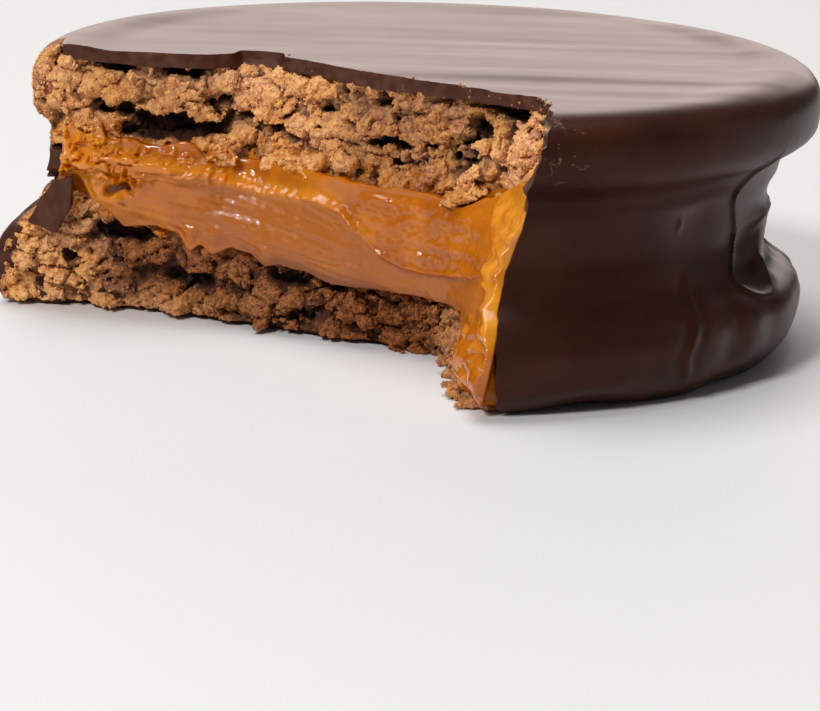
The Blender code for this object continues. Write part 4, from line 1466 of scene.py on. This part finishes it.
def make_top_biscuit(look):
    return make_biscuit("top_crumb", "top_biscuit", TOP_SPANS, top_face, TOP_HOLLOWS, top_crumb_floor,
                        top_crumb_ceiling, 0.03, 301, crumb_finish("upper crumb", look))


def make_bottom_biscuit(look):
    return make_biscuit("bottom_crumb", "bottom_biscuit", BASE_SPANS, base_face, BASE_HOLLOWS,
                        base_crumb_floor, base_crumb_ceiling, 0.35, 401, crumb_finish("lower crumb", look))


def milky_share(spots):
    """Where the filling was dragged milky and tan, from 0 to 1."""
    place, height = spots[:, 0], spots[:, 1]
    crest = lip_height(place)
    dragged = (1 - ease(-0.9, 0.1, height - crest)) * ease(3.6, 4.8, place) * (1 - ease(6.9, 7.3, place))
    shelf = ease(6.9, 7.3, place) * (1 - ease(-0.3, 0.0, height - crest)) * (1 - ease(10.1, 10.7, place))
    left = 0.45 * (1 - ease(3.0, 4.4, place)) * (1 - ease(9.0, 10.5, height))
    run = -0.3 * ease(10.0, 10.6, place) * (1 - ease(4.0, 6.0, height))
    low = 0.35 * ease(3.0, 4.0, place) * (1 - ease(7.3, 8.0, place))
    return np.clip(dragged * 0.75 + shelf * 0.95 + left + run + low * 0.4, 0, 1)


def filling_light_shade_and_tone(spots):
    """Below 0: painted shade in the hole and under the lower lip. Above 0: painted light on the
    right ridge, and brighter gel at the left, along the crest, at the drop and on the leg.
    """
    place, height = spots[:, 0], spots[:, 1]
    lumpy = face_spots(place, height)
    # Painted light: the ridge faces away from the lights, so it is painted brighter.
    ridge = ease(-0.12, 0.1, past_ridge(place, height)) * ease(4, 6, height)
    ridge = ridge * (1 + 0.5 * layered_noise(lumpy / 1.3, 175, 2))
    left = (1 - ease(2.3, 3.4, place)) * ease(8.0, 9.5, height)
    crest = 0.45 * bell(height - lip_height(place), 0.7) * (1 - ease(6.6, 7.2, place))
    # Painted shade in the hole.
    hole = hole_share(place, height)
    drop = bell(np.hypot((place - DROP_PLACE) * 9, (height - DROP_HEIGHT) * 2.4), 0.9)
    leg = leg_share(place, height) * layered_noise(lumpy / 0.8, 183, 2)
    # Painted shade along the shaded underside of the lower lip.
    lip = bell(height - smear_low(place) - 0.2, 0.5) * ease(4.6, 5.6, place) * (1 - ease(9.2, 10, place))
    bright = np.maximum(np.maximum(0.75 * ridge, 0.7 * left), crest + 0.6 * leg)
    return np.clip(bright - 2.0 * hole + 2.4 * drop - 0.75 * lip, -1, 1)


def make_filling(look):
    """The dulce de leche: its smeared face over the layer that runs through the cookie."""
    block = BittenBlock(*FILLING_SPANS, sample_step(FILLING_STEP))
    behind = SKIN * (1 - ease(-0.35, 0.05, block.proud))
    side, _ = depths_inside(block.points, outer_side())
    skin = side - 0.1 - behind
    points, faces, spots = block.net(smear_field(block, skin))
    smear = add_mesh("filling_smear", points, faces)
    add_values(smear, "milky", milky_share(spots))
    add_values(smear, "light_shade_and_tone", filling_light_shade_and_tone(spots))
    thin_out(smear, MOST_TRIANGLES)
    join(smear, [hidden_layer("filling_core", filling_floor, filling_ceiling, 0.9)])
    smear.data.materials.clear()
    smear.data.materials.append(filling_finish(look))
    return finish_piece(smear, "dulce_de_leche")


def make_fragment(look):
    """The broken triangle of shell, caught in the filling at the cookie's left end."""
    block = BittenBlock(*FRAGMENT_SPANS, sample_step(FRAGMENT_STEP))
    spots = np.stack((block.place * PLACE_LENGTH, block.height), axis=-1)
    corners = np.array([(place * PLACE_LENGTH, level) for place, level in FRAGMENT_CORNERS])
    field = np.full(block.place.shape, 9.0)
    for first, second in zip(corners, np.roll(corners, -1, axis=0)):
        along = (second - first) / np.linalg.norm(second - first)
        away = (spots - first) @ np.array([-along[1], along[0]])
        field = np.minimum(field, away + 0.12)
    lean = 0.5 + 0.1 * (block.height - 6.7)
    field = np.minimum(field, np.minimum(block.proud - lean, lean + FRAGMENT_THICKNESS - block.proud))
    field += 0.12 * layered_noise(block.points / 1.1, 211, 4)
    points, faces, _ = block.net(field)
    piece = add_mesh("scraped_fragment", points, faces, [fragment_finish(look)])
    return finish_piece(piece, "coating_fragment")


def bite_rim(points, first, last):
    """1 on the top face's broken edge between two places, and 0 a little away from it."""
    line = bite_line(np.linspace(first, last, 80), np.full(80, TOP_HEIGHT)) + OUTLINE_SHIFT
    away = np.hypot(points[:, :1] - line[:, 0], points[:, 1:2] - line[:, 1]).min(axis=1)
    return bell(away, 0.4) * ease(18.8, 19.4, points[:, 2])


def make_loose_crumbs(look):
    """Small crumbs that cling to the torn faces and the shell's rim."""
    pieces = bpy.data.objects
    pale = crumb_finish("pale crumbs", look)
    for name, ground, seed in (("top_grains", "top_crumb", 11), ("low_grains", "bottom_crumb", 12)):
        base = pieces[ground]
        torn = (read_values(base, "tip") > 0.0) & (mesh_points(base)[:, 1] < 1.0)
        loose = np.where(torn, np.clip(1.1 - 1.8 * read_values(base, "pit"), 0, 1), 0)
        grains = strew(name, base, loose, pale, GRAIN_COUNT, *GRAIN_SIZES, seed)
        finish_piece(grains)
    shell = pieces["coating_shell"]
    points = mesh_points(shell)
    loose = bite_rim(points, 8.6, 10.3) + 0.04 * bite_rim(points, 4.5, 8.4)
    rim = strew("rim_crumbs", shell, loose, pale, RIM_CRUMB_COUNT, *RIM_CRUMB_SIZES, 14)
    # The rim crumbs take a fixed 0.6 share of the darker, browner tint that elsewhere paints shade into
    # the crumb.
    rim.data.attributes["shade_and_brown"].data.foreach_set("value", [0.6] * len(rim.data.vertices))
    finish_piece(rim)


# The stage

def aim_matrix(place, target, roll=0.0):
    """Placement of a light or camera that looks at target."""
    forward = (target - place).normalized()
    level = forward.cross(Vector((0, 0, 1))).normalized()
    upright = level.cross(forward)
    turn = math.radians(roll)
    right = level * math.cos(turn) + upright * math.sin(turn)
    up = upright * math.cos(turn) - level * math.sin(turn)
    return Matrix((*zip(right, up, -forward, place), (0, 0, 0, 1)))


def add_softbox(name, place, target, size, power, color=(1, 1, 1)):
    light = bpy.data.lights.new(name, "AREA")
    light.shape = "RECTANGLE"
    light.size, light.size_y = size
    light.energy = power
    light.color = color
    item = bpy.data.objects.new(name, light)
    item.matrix_world = aim_matrix(Vector(place), Vector(target))
    bpy.context.scene.collection.objects.link(item)


def make_stage(look):
    """A pale sweep of floor, soft lights, and the camera."""
    scene = bpy.context.scene
    bpy.ops.mesh.primitive_plane_add(size=FLOOR_SIZE)
    floor = bpy.context.object
    floor.name = "pale_floor"
    paper = Finish("pale paper", (0.8, 0.8, 0.8), 0.7)
    paper.bump(paper.noise(2.0, 3), 0.02, 0.2)
    floor.data.materials.append(paper.material)
    world = scene.world or bpy.data.worlds.new("studio")
    scene.world = world
    world.use_nodes = True
    sky = world.node_tree.nodes["Background"]
    sky.inputs["Color"].default_value = (1, 1, 1, 1)
    sky.inputs["Strength"].default_value = look.room_light
    scene.view_settings.view_transform = "Standard"
    add_softbox("back softbox", (-0.2, 1.1, 0.3), (0, 0, 0.02), (1.5, 0.42), look.back_light,
                (1.0, 0.86, 0.785))
    add_softbox("overhead softbox", (-0.1, 0.1, 0.8), (0, 0, 0.01), (0.5, 0.45), look.top_light)
    add_softbox("front softbox", (-0.32, -0.5, 0.5), (0, 0, 0.01), (0.17, 0.14), look.left_light)
    add_softbox("right strip", (0.6, 0.1, 0.12), (0, 0, 0.012), (0.1, 0.4), look.right_light)
    camera = bpy.data.cameras.new("camera")
    camera.lens = CAMERA_LENS
    camera.sensor_width = 36
    camera.clip_start = 0.01
    item = bpy.data.objects.new("camera", camera)
    aim = Vector(CAMERA_AIM) * MM
    lift = math.radians(CAMERA_ELEVATION)
    place = aim + Vector((0, -math.cos(lift), math.sin(lift))) * CAMERA_DISTANCE * MM
    item.matrix_world = aim_matrix(place, aim, CAMERA_ROLL)
    scene.collection.objects.link(item)
    scene.camera = item


# The add-on

def color_setting(name, description, default):
    return FloatVectorProperty(name=name, description=description, subtype="COLOR", size=3,
                               default=default, min=0, max=1)


def light_setting(name, description, default):
    return FloatProperty(name=name, description=description, default=default, min=0, subtype="POWER")


class AlfajorLook(PropertyGroup):
    """Colours and lights that a user would change."""

    chocolate: color_setting("Chocolate", "Colour of the shell", (0.036, 0.012, 0.0065))
    chocolate_roughness: FloatProperty(name="Chocolate roughness", default=0.36, min=0.05, max=1,
                                       description="How dull the set chocolate is", subtype="FACTOR")
    broken_chocolate: color_setting("Broken chocolate", "Colour of broken edges", (0.075, 0.029, 0.018))
    # Painted light: the crumb's tips are blended towards this bright colour.
    crumb_bright: color_setting("Bright crumb", "Colour of the crumb's tips", (1.0, 0.57, 0.24))
    crumb_mid: color_setting("Crumb", "Colour of the crumb's sides", (0.5, 0.215, 0.09))
    # Painted shade: the crumb's deepest pits are blended towards this colour.
    crumb_pit_shade: color_setting("Crumb pits", "Colour deep in the crumb", (0.035, 0.011, 0.003))
    amber: color_setting("Amber filling", "Colour of the thick, wet filling", (0.60, 0.175, 0.002))
    tan: color_setting("Dragged filling", "Colour of the dragged filling", (0.43, 0.122, 0.009))
    room_light: FloatProperty(name="Room", description="Even light from all round", default=0.1, min=0)
    back_light: light_setting("Back light", "Light behind the cookie", 6.1)
    top_light: light_setting("Top light", "Light over the cookie", 3.6)
    left_light: light_setting("Left light", "Light from the front left", 3.6)
    right_light: light_setting("Right light", "Narrow light at the right", 0.15)


class ALFAJOR_OT_coating(Operator):
    """Builds the broken chocolate shell"""

    bl_idname = "alfajor.coating"
    bl_label = "Chocolate coating"

    def execute(self, context):
        make_coating(context.scene.alfajor_look)
        return {"FINISHED"}


class ALFAJOR_OT_top_biscuit(Operator):
    """Builds the upper biscuit with its torn face"""

    bl_idname = "alfajor.top_biscuit"
    bl_label = "Top biscuit"

    def execute(self, context):
        make_top_biscuit(context.scene.alfajor_look)
        return {"FINISHED"}


class ALFAJOR_OT_bottom_biscuit(Operator):
    """Builds the lower biscuit with its torn face"""

    bl_idname = "alfajor.bottom_biscuit"
    bl_label = "Bottom biscuit"

    def execute(self, context):
        make_bottom_biscuit(context.scene.alfajor_look)
        return {"FINISHED"}


class ALFAJOR_OT_filling(Operator):
    """Builds the smeared dulce de leche"""

    bl_idname = "alfajor.filling"
    bl_label = "Dulce de leche"

    def execute(self, context):
        make_filling(context.scene.alfajor_look)
        return {"FINISHED"}


class ALFAJOR_OT_fragment(Operator):
    """Builds the broken piece of shell that is caught in the filling"""

    bl_idname = "alfajor.fragment"
    bl_label = "Shell fragment"

    def execute(self, context):
        make_fragment(context.scene.alfajor_look)
        return {"FINISHED"}


class ALFAJOR_OT_crumbs(Operator):
    """Strews loose crumbs over the torn faces"""

    bl_idname = "alfajor.crumbs"
    bl_label = "Loose crumbs"

    def execute(self, context):
        make_loose_crumbs(context.scene.alfajor_look)
        return {"FINISHED"}


class ALFAJOR_OT_stage(Operator):
    """Sets the floor, the lights and the camera"""

    bl_idname = "alfajor.stage"
    bl_label = "Stage"

    def execute(self, context):
        make_stage(context.scene.alfajor_look)
        return {"FINISHED"}


STEPS = (ALFAJOR_OT_coating, ALFAJOR_OT_top_biscuit, ALFAJOR_OT_bottom_biscuit, ALFAJOR_OT_filling,
         ALFAJOR_OT_fragment, ALFAJOR_OT_crumbs, ALFAJOR_OT_stage)


class ALFAJOR_PT_panel(Panel):
    """Lists the alfajor's pieces and looks"""

    bl_label = "Bitten alfajor"
    bl_space_type = "VIEW_3D"
    bl_region_type = "UI"
    bl_category = "Alfajor"

    def draw(self, context):
        for step in STEPS:
            self.layout.operator(step.bl_idname)
        for name in AlfajorLook.__annotations__:
            self.layout.prop(context.scene.alfajor_look, name)


CLASSES = (AlfajorLook, *STEPS, ALFAJOR_PT_panel)


def register():
    for item in CLASSES:
        bpy.utils.register_class(item)
    bpy.types.Scene.alfajor_look = PointerProperty(type=AlfajorLook)


def unregister():
    del bpy.types.Scene.alfajor_look
    for item in reversed(CLASSES):
        bpy.utils.unregister_class(item)


def main():
    register()
    for step in STEPS:
        group, name = step.bl_idname.split(".")
        getattr(getattr(bpy.ops, group), name)()


if __name__ == "__main__":
    main()
